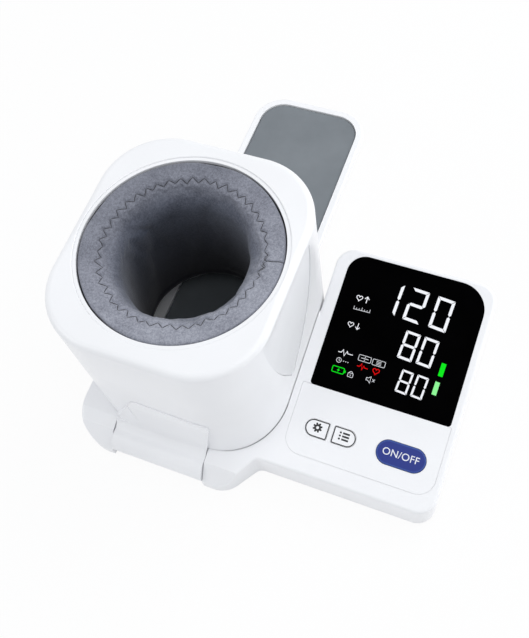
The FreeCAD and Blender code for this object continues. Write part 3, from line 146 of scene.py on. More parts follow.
def moulded(name, colour, rough, depth=0.000012, vary=0.02, coat=0.0):
    """Moulded plastic: fine spark-eroded grain, faint flow clouds and uneven gloss."""
    made, tree, shader = new_material(name)
    spot = object_point(tree)
    paint(tree, shader, noise(tree, spot, 16, 2.0), shade(colour, 1 - vary), shade(colour, 1 + vary))
    dull(tree, shader, noise(tree, spot, 55, 4.0), rough - 0.04, rough + 0.05)
    bump(tree, shader, noise(tree, spot, FINE_GRAIN, 2.0), depth)
    if coat:
        shader.inputs["Coat Weight"].default_value = coat
        shader.inputs["Coat Roughness"].default_value = 0.12
    return made


def felt(name, dark, light):
    """Brushed felt: short matted fibres over a loose knit, with a soft bloom and painted shade."""
    made, tree, shader = new_material(name)
    spot = object_point(tree)
    fibres = noise(tree, object_point(tree, (1.0, 1.0, 0.6)), 1500, 5.0, 0.75)
    flocks = noise(tree, spot, 640, 3.0, 0.7)
    patches = noise(tree, spot, 60, 3.0, 0.5)
    fibre_share, flock_share, patch_share = 0.42, 0.38, 0.20
    mixed = calc(tree, "MULTIPLY", patches, patch_share)
    for grain, part_of_it in ((flocks, flock_share), (fibres, fibre_share)):
        mixed = calc(tree, "MULTIPLY_ADD", grain, part_of_it, mixed)
    middle = tuple((a + b) / 2 for a, b in zip(dark, light))
    felt_grain_and_shade = tones(tree, mixed, [dark, middle, light], [0.38, 0.5, 0.62])
    place = tree.nodes.new("ShaderNodeSeparateXYZ")
    wire(tree, spot, place.inputs[0])
    # painted shade: the felt's colour darkens down the wall of the tunnel, away from the rolled mouth
    wall_low, wall_high = 0.060, 0.170
    level = spread(tree, place.outputs["Z"], 0.0, 1.0, wall_low, wall_high)
    painted_depth_shade = tones(tree, level, [(0.05, 0.055, 0.085), (0.17, 0.192, 0.245), (0.305, 0.334, 0.386),
                                 (0.545, 0.566, 0.607), (1.0, 1.0, 1.0)], [0.0, 0.5, 0.78, 0.9, 0.975])
    # and painted shade darkens it on the rear left side of the ring
    reach = 0.070
    across = calc(tree, "SUBTRACT", place.outputs["X"], place.outputs["Y"])
    across = spread(tree, across, 0.0, 1.0, -reach, reach)
    turned = tones(tree, across, [(0.64, 0.645, 0.66), (0.86, 0.86, 0.87), (1.0, 1.0, 1.0)])
    # the grain's colour times both painted shades
    for share in (painted_depth_shade, turned):
        step = tree.nodes.new("ShaderNodeVectorMath")
        step.operation = "MULTIPLY"
        wire(tree, felt_grain_and_shade, step.inputs[0])
        wire(tree, share, step.inputs[1])
        felt_grain_and_shade = step.outputs[0]
    wire(tree, felt_grain_and_shade, shader.inputs["Base Color"])
    shader.inputs["Roughness"].default_value = 0.93
    shader.inputs["Sheen Weight"].default_value = 0.22
    shader.inputs["Sheen Roughness"].default_value = 0.45
    shader.inputs["Specular IOR Level"].default_value = 0.2
    first = bump(tree, shader, flocks, 0.00035, 0.6)
    bump(tree, shader, fibres, 0.00016, 0.8, under=first)
    return made


def foam_skin(name, dark, light):
    """Closed foam sheet with a fine pebbled skin."""
    made, tree, shader = new_material(name)
    spot = object_point(tree)
    pebbles = tree.nodes.new("ShaderNodeTexVoronoi")
    pebbles.inputs["Scale"].default_value = 1500
    pebbles.feature = "SMOOTH_F1"
    wire(tree, spot, pebbles.inputs["Vector"])
    paint(tree, shader, noise(tree, spot, 26, 4.0), dark, light)
    dull(tree, shader, noise(tree, spot, 90, 3.0), 0.62, 0.74)
    first = bump(tree, shader, pebbles.outputs["Distance"], 0.00008, 0.5)
    bump(tree, shader, noise(tree, spot, FINE_GRAIN, 2.0), 0.00003, 0.6, under=first)
    shader.inputs["Sheen Weight"].default_value = 0.08
    return made


def rubber(name, colour):
    """Matt rubber with a coarse, dusty skin."""
    made, tree, shader = new_material(name)
    spot = object_point(tree)
    paint(tree, shader, noise(tree, spot, 120, 4.0), shade(colour, 0.8), shade(colour, 1.2))
    dull(tree, shader, noise(tree, spot, 300, 3.0), 0.68, 0.85)
    bump(tree, shader, noise(tree, spot, 3600, 3.0), 0.00004, 0.7)
    return made


def metal(name, colour, rough, along=(1.0, 12.0, 12.0)):
    """Drawn or turned metal with fine lines along one way."""
    made, tree, shader = new_material(name)
    lines = noise(tree, object_point(tree, along), 420, 5.0, 0.7)
    paint(tree, shader, lines, shade(colour, 0.82), shade(colour, 1.08))
    shader.inputs["Metallic"].default_value = 1.0
    dull(tree, shader, lines, rough - 0.08, rough + 0.1)
    bump(tree, shader, lines, 0.00002, 0.5)
    return made


def laminate(name, colour, copper):
    """Lacquered circuit board with faint tracks under the lacquer."""
    made, tree, shader = new_material(name)
    spot = object_point(tree)
    tracks = tree.nodes.new("ShaderNodeTexBrick")
    tracks.inputs["Color1"].default_value = (*shade(colour, 0.9), 1)
    tracks.inputs["Color2"].default_value = (*shade(colour, 1.1), 1)
    tracks.inputs["Mortar"].default_value = (*copper, 1)
    tracks.inputs["Scale"].default_value = 180
    tracks.inputs["Mortar Size"].default_value = 0.035
    wire(tree, spot, tracks.inputs["Vector"])
    wire(tree, tracks.outputs["Color"], shader.inputs["Base Color"])
    shader.inputs["Roughness"].default_value = 0.3
    bump(tree, shader, noise(tree, spot, 900, 2.0), 0.00003, 0.5)
    return made


def black_glass(name):
    """Dark display window: deep black with a dulled surface and the lightest orange peel."""
    made, tree, shader = new_material(name)
    spot = object_point(tree)
    paint(tree, shader, noise(tree, spot, 40, 2.0), (0.0002, 0.0002, 0.0003), (0.0006, 0.0006, 0.0008))
    dull(tree, shader, noise(tree, spot, 70, 4.0), 0.13, 0.2)
    shader.inputs["Specular IOR Level"].default_value = 0.006
    bump(tree, shader, noise(tree, spot, 180, 2.0), 0.00001, 0.3)
    return made


def lit(name, colour):
    """Lit segment: an even glow with a faint grain."""
    made, tree, shader = new_material(name)
    shader.inputs["Base Color"].default_value = (0.004, 0.004, 0.004, 1)
    shader.inputs["Specular IOR Level"].default_value = 0.02
    grain = noise(tree, object_point(tree), 900, 2.0)
    wire(tree, tones(tree, grain, [shade(colour, 0.9), colour], [0.2, 0.6]), shader.inputs["Emission Color"])
    shader.inputs["Emission Strength"].default_value = 1.0
    shader.inputs["Roughness"].default_value = 0.4
    return made


def ink(name, colour):
    """Printed ink with a slightly uneven film."""
    made, tree, shader = new_material(name)
    spot = object_point(tree)
    paint(tree, shader, noise(tree, spot, 1400, 3.0), shade(colour, 0.85), shade(colour, 1.1))
    dull(tree, shader, noise(tree, spot, 2000, 2.0), 0.4, 0.53)
    bump(tree, shader, noise(tree, spot, FINE_GRAIN, 2.0), 0.000012, 0.6)
    return made


def thread(name, colour):
    """Twisted sewing thread."""
    made, tree, shader = new_material(name)
    ply = tree.nodes.new("ShaderNodeTexWave")
    ply.inputs["Scale"].default_value = 900
    ply.inputs["Distortion"].default_value = 1.5
    wire(tree, object_point(tree), ply.inputs["Vector"])
    wire(tree, tones(tree, ply.outputs["Fac"], [shade(colour, 0.6), colour]), shader.inputs["Base Color"])
    shader.inputs["Roughness"].default_value = 0.8
    shader.inputs["Sheen Weight"].default_value = 0.2
    bump(tree, shader, ply.outputs["Fac"], 0.00008, 0.7)
    return made


# finish of each material slot in the record
FINISH = {
    "white_shell": moulded("white_shell", (0.865, 0.872, 0.895), 0.34, coat=0.15),
    "start_blue": moulded("start_blue", (0.002, 0.018, 0.20), 0.4, vary=0.05),
    "grip_grey": moulded("grip_grey", (0.80, 0.81, 0.835), 0.55, depth=0.00003, vary=0.03),
    "pad_grey": foam_skin("pad_grey", (0.152, 0.171, 0.190), (0.180, 0.201, 0.221)),
    "lining_felt": felt("lining_felt", (0.169, 0.177, 0.216), (0.412, 0.428, 0.494)),
    "window_black": black_glass("window_black"),
    "foot_rubber": rubber("foot_rubber", (0.05, 0.05, 0.055)),
    "bladder_rubber": rubber("bladder_rubber", (0.07, 0.07, 0.075)),
    "hose_rubber": rubber("hose_rubber", (0.22, 0.22, 0.24)),
    "inner_plastic": moulded("inner_plastic", (0.12, 0.12, 0.135), 0.5, vary=0.08),
    "board_green": laminate("board_green", (0.02, 0.16, 0.06), (0.05, 0.25, 0.09)),
    "screw_steel": metal("screw_steel", (0.62, 0.63, 0.65), 0.3),
    "motor_metal": metal("motor_metal", (0.6, 0.61, 0.62), 0.35, (12.0, 1.0, 12.0)),
    "battery_wrap": moulded("battery_wrap", (0.05, 0.16, 0.45), 0.3, vary=0.05),
}
LIT_WHITE = lit("lit_white", (0.93, 0.95, 1.0))
LIT_DIM = lit("lit_dim", (0.72, 0.74, 0.78))
LIT_GREEN = lit("lit_green", (0.0, 0.85, 0.01))
LIT_PALE = lit("lit_pale_green", (0.28, 0.95, 0.32))
LIT_RED = lit("lit_red", (0.8, 0.0, 0.0))
BLACK_INK = ink("black_ink", (0.012, 0.012, 0.014))
WHITE_INK = ink("white_ink", (0.85, 0.87, 0.92))
# painted highlight: a paler blue that stands for light on the start key's rolled edge
PAINTED_HIGHLIGHT_BLUE = ink("painted_highlight_blue", (0.02, 0.062, 0.29))
STITCH = thread("stitch_thread", (0.03, 0.03, 0.036))

for part in frame["record"]["subparts"]:
    mesh = NODES[part["node"]].data
    mesh.materials.clear()
    mesh.materials.append(FINISH[part["material_slot"]])


# ---- Mesh helpers ----
CURVE_STEPS = 24            # between two given points of a smooth line


def mesh_piece(name, points, faces, body, finish, slot=None, smooth=True):
    """Mesh object that rides on a body, or on none for the floor and for trials."""
    data = bpy.data.meshes.new(name)
    data.from_pydata([tuple(p) for p in points], [], [tuple(int(k) for k in f) for f in faces])
    data.validate()
    data.materials.append(finish)
    if smooth:
        data.shade_smooth()
    piece = bpy.data.objects.new(name, data)
    bpy.context.scene.collection.objects.link(piece)
    if body:
        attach(piece, body)
    return piece


def ring_faces(rows, columns, close_rows=False):
    """Quads of a grid that closes round its columns; point index = row * columns + column."""
    faces = []
    for i in range(rows if close_rows else rows - 1):
        low, high = i * columns, ((i + 1) % rows) * columns
        for j in range(columns):
            k = (j + 1) % columns
            faces.append((low + j, low + k, high + k, high + j))
    return faces


def smooth_line(points, marks):
    """Points along a smooth curve through the given ones, and the curve's length. marks is how many
    points to space evenly, or an array of their shares of the length."""
    points = np.array(points, float)
    padded = np.vstack([2 * points[0] - points[1], points, 2 * points[-1] - points[-2]])
    dense = []
    for a, b, c, d in zip(padded, padded[1:], padded[2:], padded[3:]):
        t = np.linspace(0, 1, CURVE_STEPS, endpoint=False)[:, None]
        dense.append(0.5 * (2 * b + (c - a) * t + (2 * a - 5 * b + 4 * c - d) * t ** 2
                            + (3 * b - a - 3 * c + d) * t ** 3))
    dense = np.vstack(dense + [points[-1:]])
    steps = np.concatenate([[0], np.cumsum(np.linalg.norm(np.diff(dense, axis=0), axis=1))])
    places = np.linspace(0, steps[-1], marks) if np.isscalar(marks) else np.asarray(marks) * steps[-1]
    return np.stack([np.interp(places, steps, dense[:, k]) for k in range(points.shape[1])], 1), steps[-1]


def tube(points, radii, sides):
    """Points and faces of a tube along a path, closed at both ends."""
    points = [Vector(p) for p in points]
    spots, faces = [], []
    for k, p in enumerate(points):
        way = (points[min(k + 1, len(points) - 1)] - points[max(k - 1, 0)]).normalized()
        side = way.cross(Vector((0, 0, 1)) if abs(way.z) < 0.9 else Vector((1, 0, 0))).normalized()
        lift = side.cross(way)
        for m in range(sides):
            a = FULL_TURN * m / sides
            spots.append(p + (side * math.cos(a) + lift * math.sin(a)) * radii[k])
    faces = ring_faces(len(points), sides)
    last = (len(points) - 1) * sides
    faces.append(tuple(reversed(range(sides))))
    faces.append(tuple(last + m for m in range(sides)))
    return spots, faces


def gather(parts):
    """Joins (points, faces) lists into one."""
    points, faces = [], []
    for some, more in parts:
        start = len(points)
        points += list(some)
        faces += [tuple(k + start for k in face) for face in more]
    return points, faces


# ---- Padded lining of the arm tunnel: radii, levels and lengths in mm, the tunnel's axis is Z ----
MOUTH_RADIUS = 70.0
MOUTH_LEVEL, TOP_LEVEL, GATHER_LEVEL = 158, 160, 150    # the mouth, its top and its gathers lie above these
ZIGS = 43                   # of the stitch, round the mouth
ZIG_START = math.radians(105.8)
STITCH_OUT, STITCH_MIDDLE, STITCH_IN = 57.5, 55.8, 54.1
KNOT_TURN, KNOT_SLIP = 0.008, 0.42                      # unevenness of the zigzag's corners
SEAM_ANGLE = math.radians(8.7)                          # where the ring of fabric is joined
SEAM_FROM, SEAM_RAMP = 56.5, 1.5                        # the seam's groove starts at this radius
# dents and ridges of the felt: size, how far from the line that makes them, width
GROOVE, PUFF = (-0.7, 0.0, 0.75), (0.6, 2.0, 1.1)                   # of a stitch
SEAM_GROOVE, SEAM_RIDGE = (-1.1, 0.0, 0.42), (0.3, 1.6, 1.0)        # of the seam
GATHERS = (0.18, 51.0, 4.0)                                         # below the stitches, by radius
COARSE_ROWS, COARSE_COLUMNS = 60, 132                   # of the mesh that is simulated
FINE_COLUMNS = 680          # of the finished mesh, without the seam's own
EDGE_ROWS = 3               # held at each edge of the simulated mesh
CLOTH_FRAMES = 16
SWELL_LEAST, SWELL_MOST = -0.8, 1.6
SWELL_SHARE = 0.75          # of the simulated swelling that is used
# visible side from under the ring's edge, over the rolled mouth and down to the hem: radius, level
VISIBLE = [(69.5, 163.0), (69.5, 166.8), (69.1, 168.8), (67.4, 169.9), (64.0, 170.0), (60.5, 169.4),
           (57.6, 168.3), (54.4, 166.2), (51.4, 163.6), (48.6, 160.2), (46.2, 156.0), (44.8, 151.4),
           (44.3, 146.0), (44.2, 138.0), (44.4, 118.0), (45.2, 90.0), (46.3, 65.0), (46.9, 53.0),
           (47.3, 50.6), (48.4, 49.9)]
# and back up the side that lies against the air sleeve and under the ring
HIDDEN = [(49.6, 50.6), (49.9, 54.0), (49.2, 90.0), (47.6, 130.0), (47.2, 149.5), (52.0, 152.0),
          (59.0, 155.0), (65.0, 158.8), (69.4, 162.2)]


def hidden_side(count):
    """Points of the hidden side, without its two ends, which the visible side has."""
    return smooth_line([VISIBLE[-1]] + HIDDEN + [VISIBLE[0]], count)[0][1:-1]


def line_shares(parts):
    """Marks from 0 to 1, each part given as (its end, number of steps)."""
    marks, start = [0.0], 0.0
    for end, steps in parts:
        marks += list(np.linspace(start, end, steps + 1)[1:])
        start = end
    return np.array(marks)


def profile_normals(line):
    """Outward normals of the visible side: radius, level."""
    way = np.gradient(line, axis=0)
    way /= np.linalg.norm(way, axis=1)[:, None]
    return np.stack([way[:, 1], -way[:, 0]], 1)


def relief(form, distance):
    """Height of a dent or ridge at a distance from the line that makes it."""
    size, place, width = form
    return size * np.exp(-((distance - place) / width) ** 2)


def turn(start, end):
    """Signed angle from start to end, the short way round."""
    return (end - start + math.pi) % FULL_TURN - math.pi


def swell(line, normals):
    """How far the padding puffs out of the drawn profile, from a cloth simulation on a coarse mesh:
    rows along the profile, columns round the tunnel. The edges and the stitch line are held."""
    loop = np.vstack([line, hidden_side(14)])
    angles = np.linspace(0, FULL_TURN, COARSE_COLUMNS, endpoint=False)
    points = np.array([[(r * math.cos(a) * MM, r * math.sin(a) * MM, z * MM) for a in angles]
                       for r, z in loop])
    rows = len(loop)
    piece = mesh_piece("lining_trial", points.reshape(-1, 3), ring_faces(rows, COARSE_COLUMNS, True), None,
                       FINISH["lining_felt"])
    below = line[:, 1] < TOP_LEVEL
    stitch_row = int(np.argmin(np.abs(line[:, 0] - STITCH_MIDDLE) + 10 * below))
    fixed = [k for k in range(rows) if k < EDGE_ROWS or k >= len(line) - EDGE_ROWS or k == stitch_row]
    held = piece.vertex_groups.new(name="held")
    held.add([k * COARSE_COLUMNS + j for k in fixed for j in range(COARSE_COLUMNS)], 1.0, "REPLACE")
    cloth = piece.modifiers.new("cloth", "CLOTH")
    cloth.settings.quality = 5
    cloth.settings.mass = 0.2
    cloth.settings.tension_stiffness = cloth.settings.compression_stiffness = 12
    cloth.settings.shear_stiffness = 6
    cloth.settings.bending_stiffness = 0.8
    cloth.settings.use_pressure = True
    cloth.settings.uniform_pressure_force = 4
    cloth.settings.shrink_min = -0.02
    cloth.settings.vertex_group_mass = "held"
    cloth.settings.effector_weights.gravity = 0
    cloth.point_cache.frame_end = 20
    for number in range(1, CLOTH_FRAMES + 1):
        bpy.context.scene.frame_set(number)
    graph = bpy.context.evaluated_depsgraph_get()
    shape = piece.evaluated_get(graph).to_mesh()
    moved = np.array([v.co for v in shape.vertices]).reshape(rows, COARSE_COLUMNS, 3)[:len(line)]
    bpy.data.objects.remove(piece)
    bpy.context.scene.frame_set(1)
    out = np.stack([normals[:, 0, None] * np.cos(angles), normals[:, 0, None] * np.sin(angles),
                    np.repeat(normals[:, 1, None], COARSE_COLUMNS, 1)], 2)
    amount = ((moved - points[:len(line)]) * out).sum(2) / MM
    return np.clip(amount, SWELL_LEAST, SWELL_MOST)


def on_grid(amount, row_at, col_at):
    """Values of a grid that closes round its columns, at places between its rows and columns."""
    r0 = np.clip(row_at.astype(int), 0, len(amount) - 2)
    c0 = col_at.astype(int) % amount.shape[1]
    c1 = (c0 + 1) % amount.shape[1]
    rf, cf = (row_at - r0)[:, None], (col_at - col_at.astype(int))[None, :]
    return ((amount[r0][:, c0] * (1 - cf) + amount[r0][:, c1] * cf) * (1 - rf)
            + (amount[r0 + 1][:, c0] * (1 - cf) + amount[r0 + 1][:, c1] * cf) * rf)


def fine_columns():
    """Angles of the fine mesh's columns, closer together at the radial seam."""
    reach, count = 0.03, 21
    even = np.linspace(0, FULL_TURN, FINE_COLUMNS, endpoint=False)
    at_seam = SEAM_ANGLE + np.linspace(-reach, reach, count)
    return np.sort(np.concatenate([even[np.abs(even - SEAM_ANGLE) > reach + 0.002], at_seam]))


def stitch_runs():
    """Stitches, each from one (angle, radius) to another: the zigzag, and a few sewn over it at the seam."""
    knots = []
    for k in range(2 * ZIGS):
        a = ZIG_START + math.pi * k / ZIGS + RANDOM.normal(0, KNOT_TURN)
        knots.append((a % FULL_TURN, (STITCH_OUT if k % 2 == 0 else STITCH_IN) + RANDOM.normal(0, KNOT_SLIP)))
    doubled, count, middle, closer, slip = [], 6, SEAM_ANGLE - 0.02, 0.62, 0.2
    for k in range(count):
        a = middle + math.pi * (k - (count - 1) / 2) / ZIGS * closer
        radius = STITCH_OUT + 0.2 if k % 2 else STITCH_IN + 0.5
        doubled.append((a % FULL_TURN, radius + RANDOM.normal(0, slip)))
    runs = [(knots[k], knots[(k + 1) % len(knots)]) for k in range(len(knots))]
    return runs + list(zip(doubled, doubled[1:]))


def stitch_distance(runs, columns, line, along, place_of):
    """Distance in mm from each point of the fine grid to the nearest stitch."""
    far = 1e3
    inner, outer, side = 47, 66, 0.2        # a stitch is felt between two radii and two angles
    nearest = np.full((len(line), len(columns)), far)
    band = (line[:, 0] > inner) & (line[:, 0] < outer) & (line[:, 1] > MOUTH_LEVEL)
    for (a0, r0), (a1, r1) in runs:
        offset = turn(a0, columns)
        some = np.abs(offset - turn(a0, a1) / 2) < side
        x = offset[some][None, :] * STITCH_MIDDLE
        y = along[band][:, None] - place_of(r0)
        dx, dy = turn(a0, a1) * STITCH_MIDDLE, place_of(r1) - place_of(r0)
        t = np.clip((x * dx + y * dy) / (dx * dx + dy * dy), 0, 1)
        block = np.ix_(band, some)
        nearest[block] = np.minimum(nearest[block], np.hypot(x - t * dx, y - t * dy))
    return nearest


def shape_felt(lift, nearest, columns, line, along):
    """Adds the stitches' grooves, the seam, the gathers and the unevenness to the swelling, in mm."""
    for form in (GROOVE, PUFF):
        lift += relief(form, nearest)
    # radial seam where the ring of fabric is joined
    seam = np.abs(turn(SEAM_ANGLE, columns))[None, :] * line[:, :1]
    reach = np.clip((line[:, 0] - SEAM_FROM) / SEAM_RAMP, 0, 1) * (line[:, 1] > TOP_LEVEL)
    lift += reach[:, None] * (relief(SEAM_GROOVE, seam) + relief(SEAM_RIDGE, seam))
    # soft gathers below the stitches
    inner = relief(GATHERS, line[:, 0]) * (line[:, 1] > GATHER_LEVEL)
    lift += inner[:, None] * np.cos((columns - ZIG_START) * ZIGS)[None, :]
    # slight unevenness of the padding, in slanting waves
    slant = 0.05
    for waves, size in ((5, 0.25), (9, 0.16), (14, 0.1)):
        phase = RANDOM.uniform(0, 6.28)
        lift += size * np.cos(columns * waves + phase + line[:, 1:2] * slant)
    # both edges keep to the drawn profile
    for from_edge, fade in ((along, 6.0), (along[-1] - along, 5.0)):
        lift *= np.clip(from_edge / fade, 0, 1)[:, None]


def build_lining():
    """Felt sleeve in the drum's tunnel, with its stitches."""
    coarse, length = smooth_line(VISIBLE, COARSE_ROWS)
    amount = swell(coarse, profile_normals(coarse))
    # rows lie closest where the stitches are
    shares = line_shares([(0.14, 24), (0.3, 60), (0.42, 16), (1.0, 44)])
    line, _ = smooth_line(VISIBLE, shares)
    normals, along, columns = profile_normals(line), shares * length, fine_columns()
    mouth = np.flatnonzero(line[:, 1] > MOUTH_LEVEL)
    mouth = mouth[np.argsort(line[mouth, 0])]

    def place_of(radius):
        """How far along the profile the rolled mouth has this radius."""
        return np.interp(radius, line[mouth, 0], along[mouth])

    runs = stitch_runs()
    lift = on_grid(amount, shares * (COARSE_ROWS - 1), columns / FULL_TURN * COARSE_COLUMNS) * SWELL_SHARE
    shape_felt(lift, stitch_distance(runs, columns, line, along, place_of), columns, line, along)
    flat = line[:, None, :] + normals[:, None, :] * lift[:, :, None]
    hidden = hidden_side(16)
    radius = np.vstack([np.minimum(flat[:, :, 0], MOUTH_RADIUS), np.repeat(hidden[:, :1], len(columns), 1)])
    level = np.vstack([flat[:, :, 1], np.repeat(hidden[:, 1:], len(columns), 1)])
    points = np.stack([radius * np.cos(columns) * MM, radius * np.sin(columns) * MM, level * MM], 2)
    sleeve = mesh_piece("lining_sleeve", points.reshape(-1, 3), ring_faces(len(radius), len(columns), True),
                        "drum", FINISH["lining_felt"], "lining_felt")
    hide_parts("cuff_lining")

    def on_felt(angle, place, height):
        """Point on the finished surface, height mm above it."""
        row = np.interp(place, along, np.arange(len(along)))
        col = np.interp(angle % FULL_TURN, columns, np.arange(len(columns)))
        i, j = min(int(row), len(along) - 2), min(int(col), len(columns) - 2)
        f, g = row - i, col - j
        spot = ((points[i, j] * (1 - g) + points[i, j + 1] * g) * (1 - f)
                + (points[i + 1, j] * (1 - g) + points[i + 1, j + 1] * g) * f)
        n = normals[i]
        return spot + np.array([n[0] * math.cos(angle), n[0] * math.sin(angle), n[1]]) * height * MM

    # of the thread: sides, radius at a stitch's ends, what its middle adds
    sides, ends, fuller = 7, 0.16, 0.1
    rise, sink = 0.16, 0.12
    seam_in, seam_out, seam_thread, seam_rise = 57.4, 68.6, 0.36, 0.2
    stitches = []
    for (a0, r0), (a1, r1) in runs:
        path, sizes = [], []
        for t in np.linspace(0, 1, 9):
            # a stitch dips into the felt at both ends, where it is thinnest too
            height = rise * math.sin(math.pi * t) ** 0.5 - sink
            path.append(on_felt(a0 + turn(a0, a1) * t, place_of(r0) * (1 - t) + place_of(r1) * t, height))
            sizes.append((ends + fuller * math.sin(math.pi * t)) * MM)
        stitches.append(tube(path, sizes, sides))
    seam_path = [on_felt(SEAM_ANGLE, place_of(r), seam_rise) for r in np.linspace(seam_in, seam_out, 24)]
    stitches.append(tube(seam_path, [seam_thread * MM] * len(seam_path), sides))
    mesh_piece("lining_stitches", *gather(stitches), "drum", STITCH, "lining_felt")


build_lining()


# ---- Elbow pad and air sleeve, in mm ----
def build_pad():
    """Firm foam sheet lying in the tray: flat, its edge rolled over, its skin faintly uneven."""
    front, rear, half, narrow = -62.0, 239.0, 47.0, 44.6     # half is its half width in front, narrow behind
    corner, floor, top, roll = 21.0, 25.0, 29.0, 1.6
    crown, unevenness, fade = 0.25, 0.05, 8.0               # both fade out towards the edge
    end_rows, middle_rows, column_count, crowding = 26, 90, 57, 0.8
    round_end = corner * (1 - np.cos(np.linspace(0, math.pi / 2, end_rows)))
    straight = np.linspace(front + corner, rear - corner, middle_rows)
    rows = np.unique(np.round(np.concatenate([front + round_end, straight, rear - round_end]), 4))
    # columns crowd towards the sides
    across = np.sin(np.linspace(-math.pi / 2, math.pi / 2, column_count))
    across = np.sign(across) * np.abs(across) ** crowding
    points, count = [], len(across)
    for y in rows:
        full = half + (narrow - half) * (y - front) / (rear - front)
        depth = max(front + corner - y, y - (rear - corner), 0)
        side = full - (corner - math.sqrt(max(corner ** 2 - depth ** 2, 0.0)))
        for share in across:
            x = side * share
            edge = min(side - abs(x), y - front, rear - y)
            if depth > 0:
                from_corner = math.hypot(max(abs(x) - (full - corner), 0), depth)
                edge = min(edge, corner - from_corner)
            edge = max(edge, 0.0)
            drop = roll - math.sqrt(max(roll ** 2 - max(roll - edge, 0) ** 2, 0))
            rise = crown * (1 - (x / half) ** 2)
            wave = unevenness * math.sin(y * 0.11 + 1) * math.cos(x * 0.13)
            points.append((x * MM, y * MM, (top - drop + (rise + wave) * min(1, edge / fade)) * MM))
    faces = [(i * count + j, i * count + j + 1, (i + 1) * count + j + 1, (i + 1) * count + j)
             for i in range(len(rows) - 1) for j in range(count - 1)]
    rim = (list(range(count)) + [i * count + count - 1 for i in range(1, len(rows))]
           + [(len(rows) - 1) * count + j for j in range(count - 2, -1, -1)]
           + [i * count for i in range(len(rows) - 2, 0, -1)])
    start = len(points)
    points += [(points[k][0], points[k][1], floor * MM) for k in rim]
    for k in range(len(rim)):
        m = (k + 1) % len(rim)
        faces.append((rim[m], rim[k], start + k, start + m))
    faces.append(tuple(start + k for k in reversed(range(len(rim)))))
    pad = mesh_piece("elbow_pad", points, faces, "base", FINISH["pad_grey"], "pad_grey")
    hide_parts("arm_pad")


def build_air_sleeve():
    """Slack air sleeve between tube and lining, with welded ribs."""
    low, high, inner, outer = 54.3, 148.5, 50.5, 58.6
    ribs, sharpness, nip = 8, 8, 0.55       # a rib takes in this share of the sleeve's thickness
    film = 0.4                              # both films together, where they are welded
    columns, rows, back_rows = 192, 40, 8
    angles = [FULL_TURN * j / columns for j in range(columns)]
    points = []
    for i in range(rows):
        t = i / (rows - 1)
        belly = math.sin(math.pi * t) ** 0.35
        for a in angles:
            rib = abs(math.cos(a * ribs / 2)) ** sharpness
            r = inner + film + (outer - inner - film) * belly * (1 - nip * rib)
            points.append((r * math.cos(a) * MM, r * math.sin(a) * MM, (low + (high - low) * t) * MM))
    for k in range(back_rows):
        z = high - (high - low) * k / (back_rows - 1)
        points += [(inner * math.cos(a) * MM, inner * math.sin(a) * MM, z * MM) for a in angles]
    sleeve = mesh_piece("air_sleeve", points, ring_faces(rows + back_rows, columns, True), "drum",
                        FINISH["bladder_rubber"], "bladder_rubber")
    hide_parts("air_bladder")


build_pad()
build_air_sleeve()


# ---- Panel: its marks are drawn in its own plane, x to the right and v up the slope, in mm ----
TILT = math.radians(14.3)
PANEL_FRONT, PANEL_RISE = -82.0, 31.147     # y and z of the plane's lower edge


def on_panel(x, v, w):
    """Point w mm above the panel's plane."""
    return Vector((x, PANEL_FRONT + v * math.cos(TILT) - w * math.sin(TILT),
                   PANEL_RISE + v * math.sin(TILT) + w * math.cos(TILT))) * MM


def plates(name, outlines, body, finish, top, thick=0.06):
    """Thin marks: each outline, given anticlockwise in the panel's plane, becomes a low prism."""
    parts = []
    for line in outlines:
        n = len(line)
        points = [on_panel(x, v, top) for x, v in line] + [on_panel(x, v, top - thick) for x, v in line]
        faces = [tuple(range(n))] + [(k, n + k, n + (k + 1) % n, (k + 1) % n) for k in range(n)]
        parts.append((points, faces))
    mesh_piece(name, *gather(parts), body, finish, smooth=False)


def stroke(points, width, closed=False):
    """Outlines (quads) of a drawn line with mitred corners."""
    points = [np.array(p, float) for p in points]
    count = len(points)
    sharpest = 0.35             # a sharper corner's mitre is cut short
    left, right = [], []
    for k, p in enumerate(points):
        before = points[k - 1] if (k > 0 or closed) else None
        after = points[(k + 1) % count] if (k < count - 1 or closed) else None
        ways = []
        if before is not None:
            ways.append((p - before) / np.linalg.norm(p - before))
        if after is not None:
            ways.append((after - p) / np.linalg.norm(after - p))
        sides = [np.array([-w[1], w[0]]) for w in ways]
        if len(sides) == 2:
            middle = sides[0] + sides[1]
            middle /= max(np.linalg.norm(middle), 1e-6)
            reach = min(width / 2 / max(middle @ sides[0], sharpest), width)
        else:
            middle, reach = sides[0], width / 2
        left.append(p + middle * reach)
        right.append(p - middle * reach)
    last = count if closed else count - 1
    return [[tuple(right[k]), tuple(right[(k + 1) % count]), tuple(left[(k + 1) % count]), tuple(left[k])]
            for k in range(last)]


def arc(x, v, radius, start, stop, steps):
    """Points of an arc, its angles in degrees."""
    turns = [math.radians(start + (stop - start) * k / steps) for k in range(steps + 1)]
    return [(x + radius * math.cos(a), v + radius * math.sin(a)) for a in turns]


def disc(x, v, radius):
    """Outline of a disc."""
    return arc(x, v, radius, 0, 360, 28)[:-1]


def round_box(x0, x1, v0, v1, left, right, steps):
    """Outline of a box, anticlockwise, with one corner radius on its left and one on its right."""
    corners = [(x1 - right, v0 + right, right, -90), (x1 - right, v1 - right, right, 0),
               (x0 + left, v1 - left, left, 90), (x0 + left, v0 + left, left, 180)]
    return [p for x, v, radius, start in corners for p in arc(x, v, radius, start, start + 90, steps)]


def box_line(x0, x1, v0, v1, radius):
    """Outline of a box with round corners."""
    return round_box(x0, x1, v0, v1, radius, radius, 5)


# which of the seven bars each figure lights:
# top, upper right, lower right, bottom, lower left, upper left, middle
BARS = {"0": (1, 1, 1, 1, 1, 1, 0), "1": (0, 1, 1, 0, 0, 0, 0), "2": (1, 1, 0, 1, 1, 0, 1),
        "8": (1, 1, 1, 1, 1, 1, 1)}
BAR_GAP = 0.34


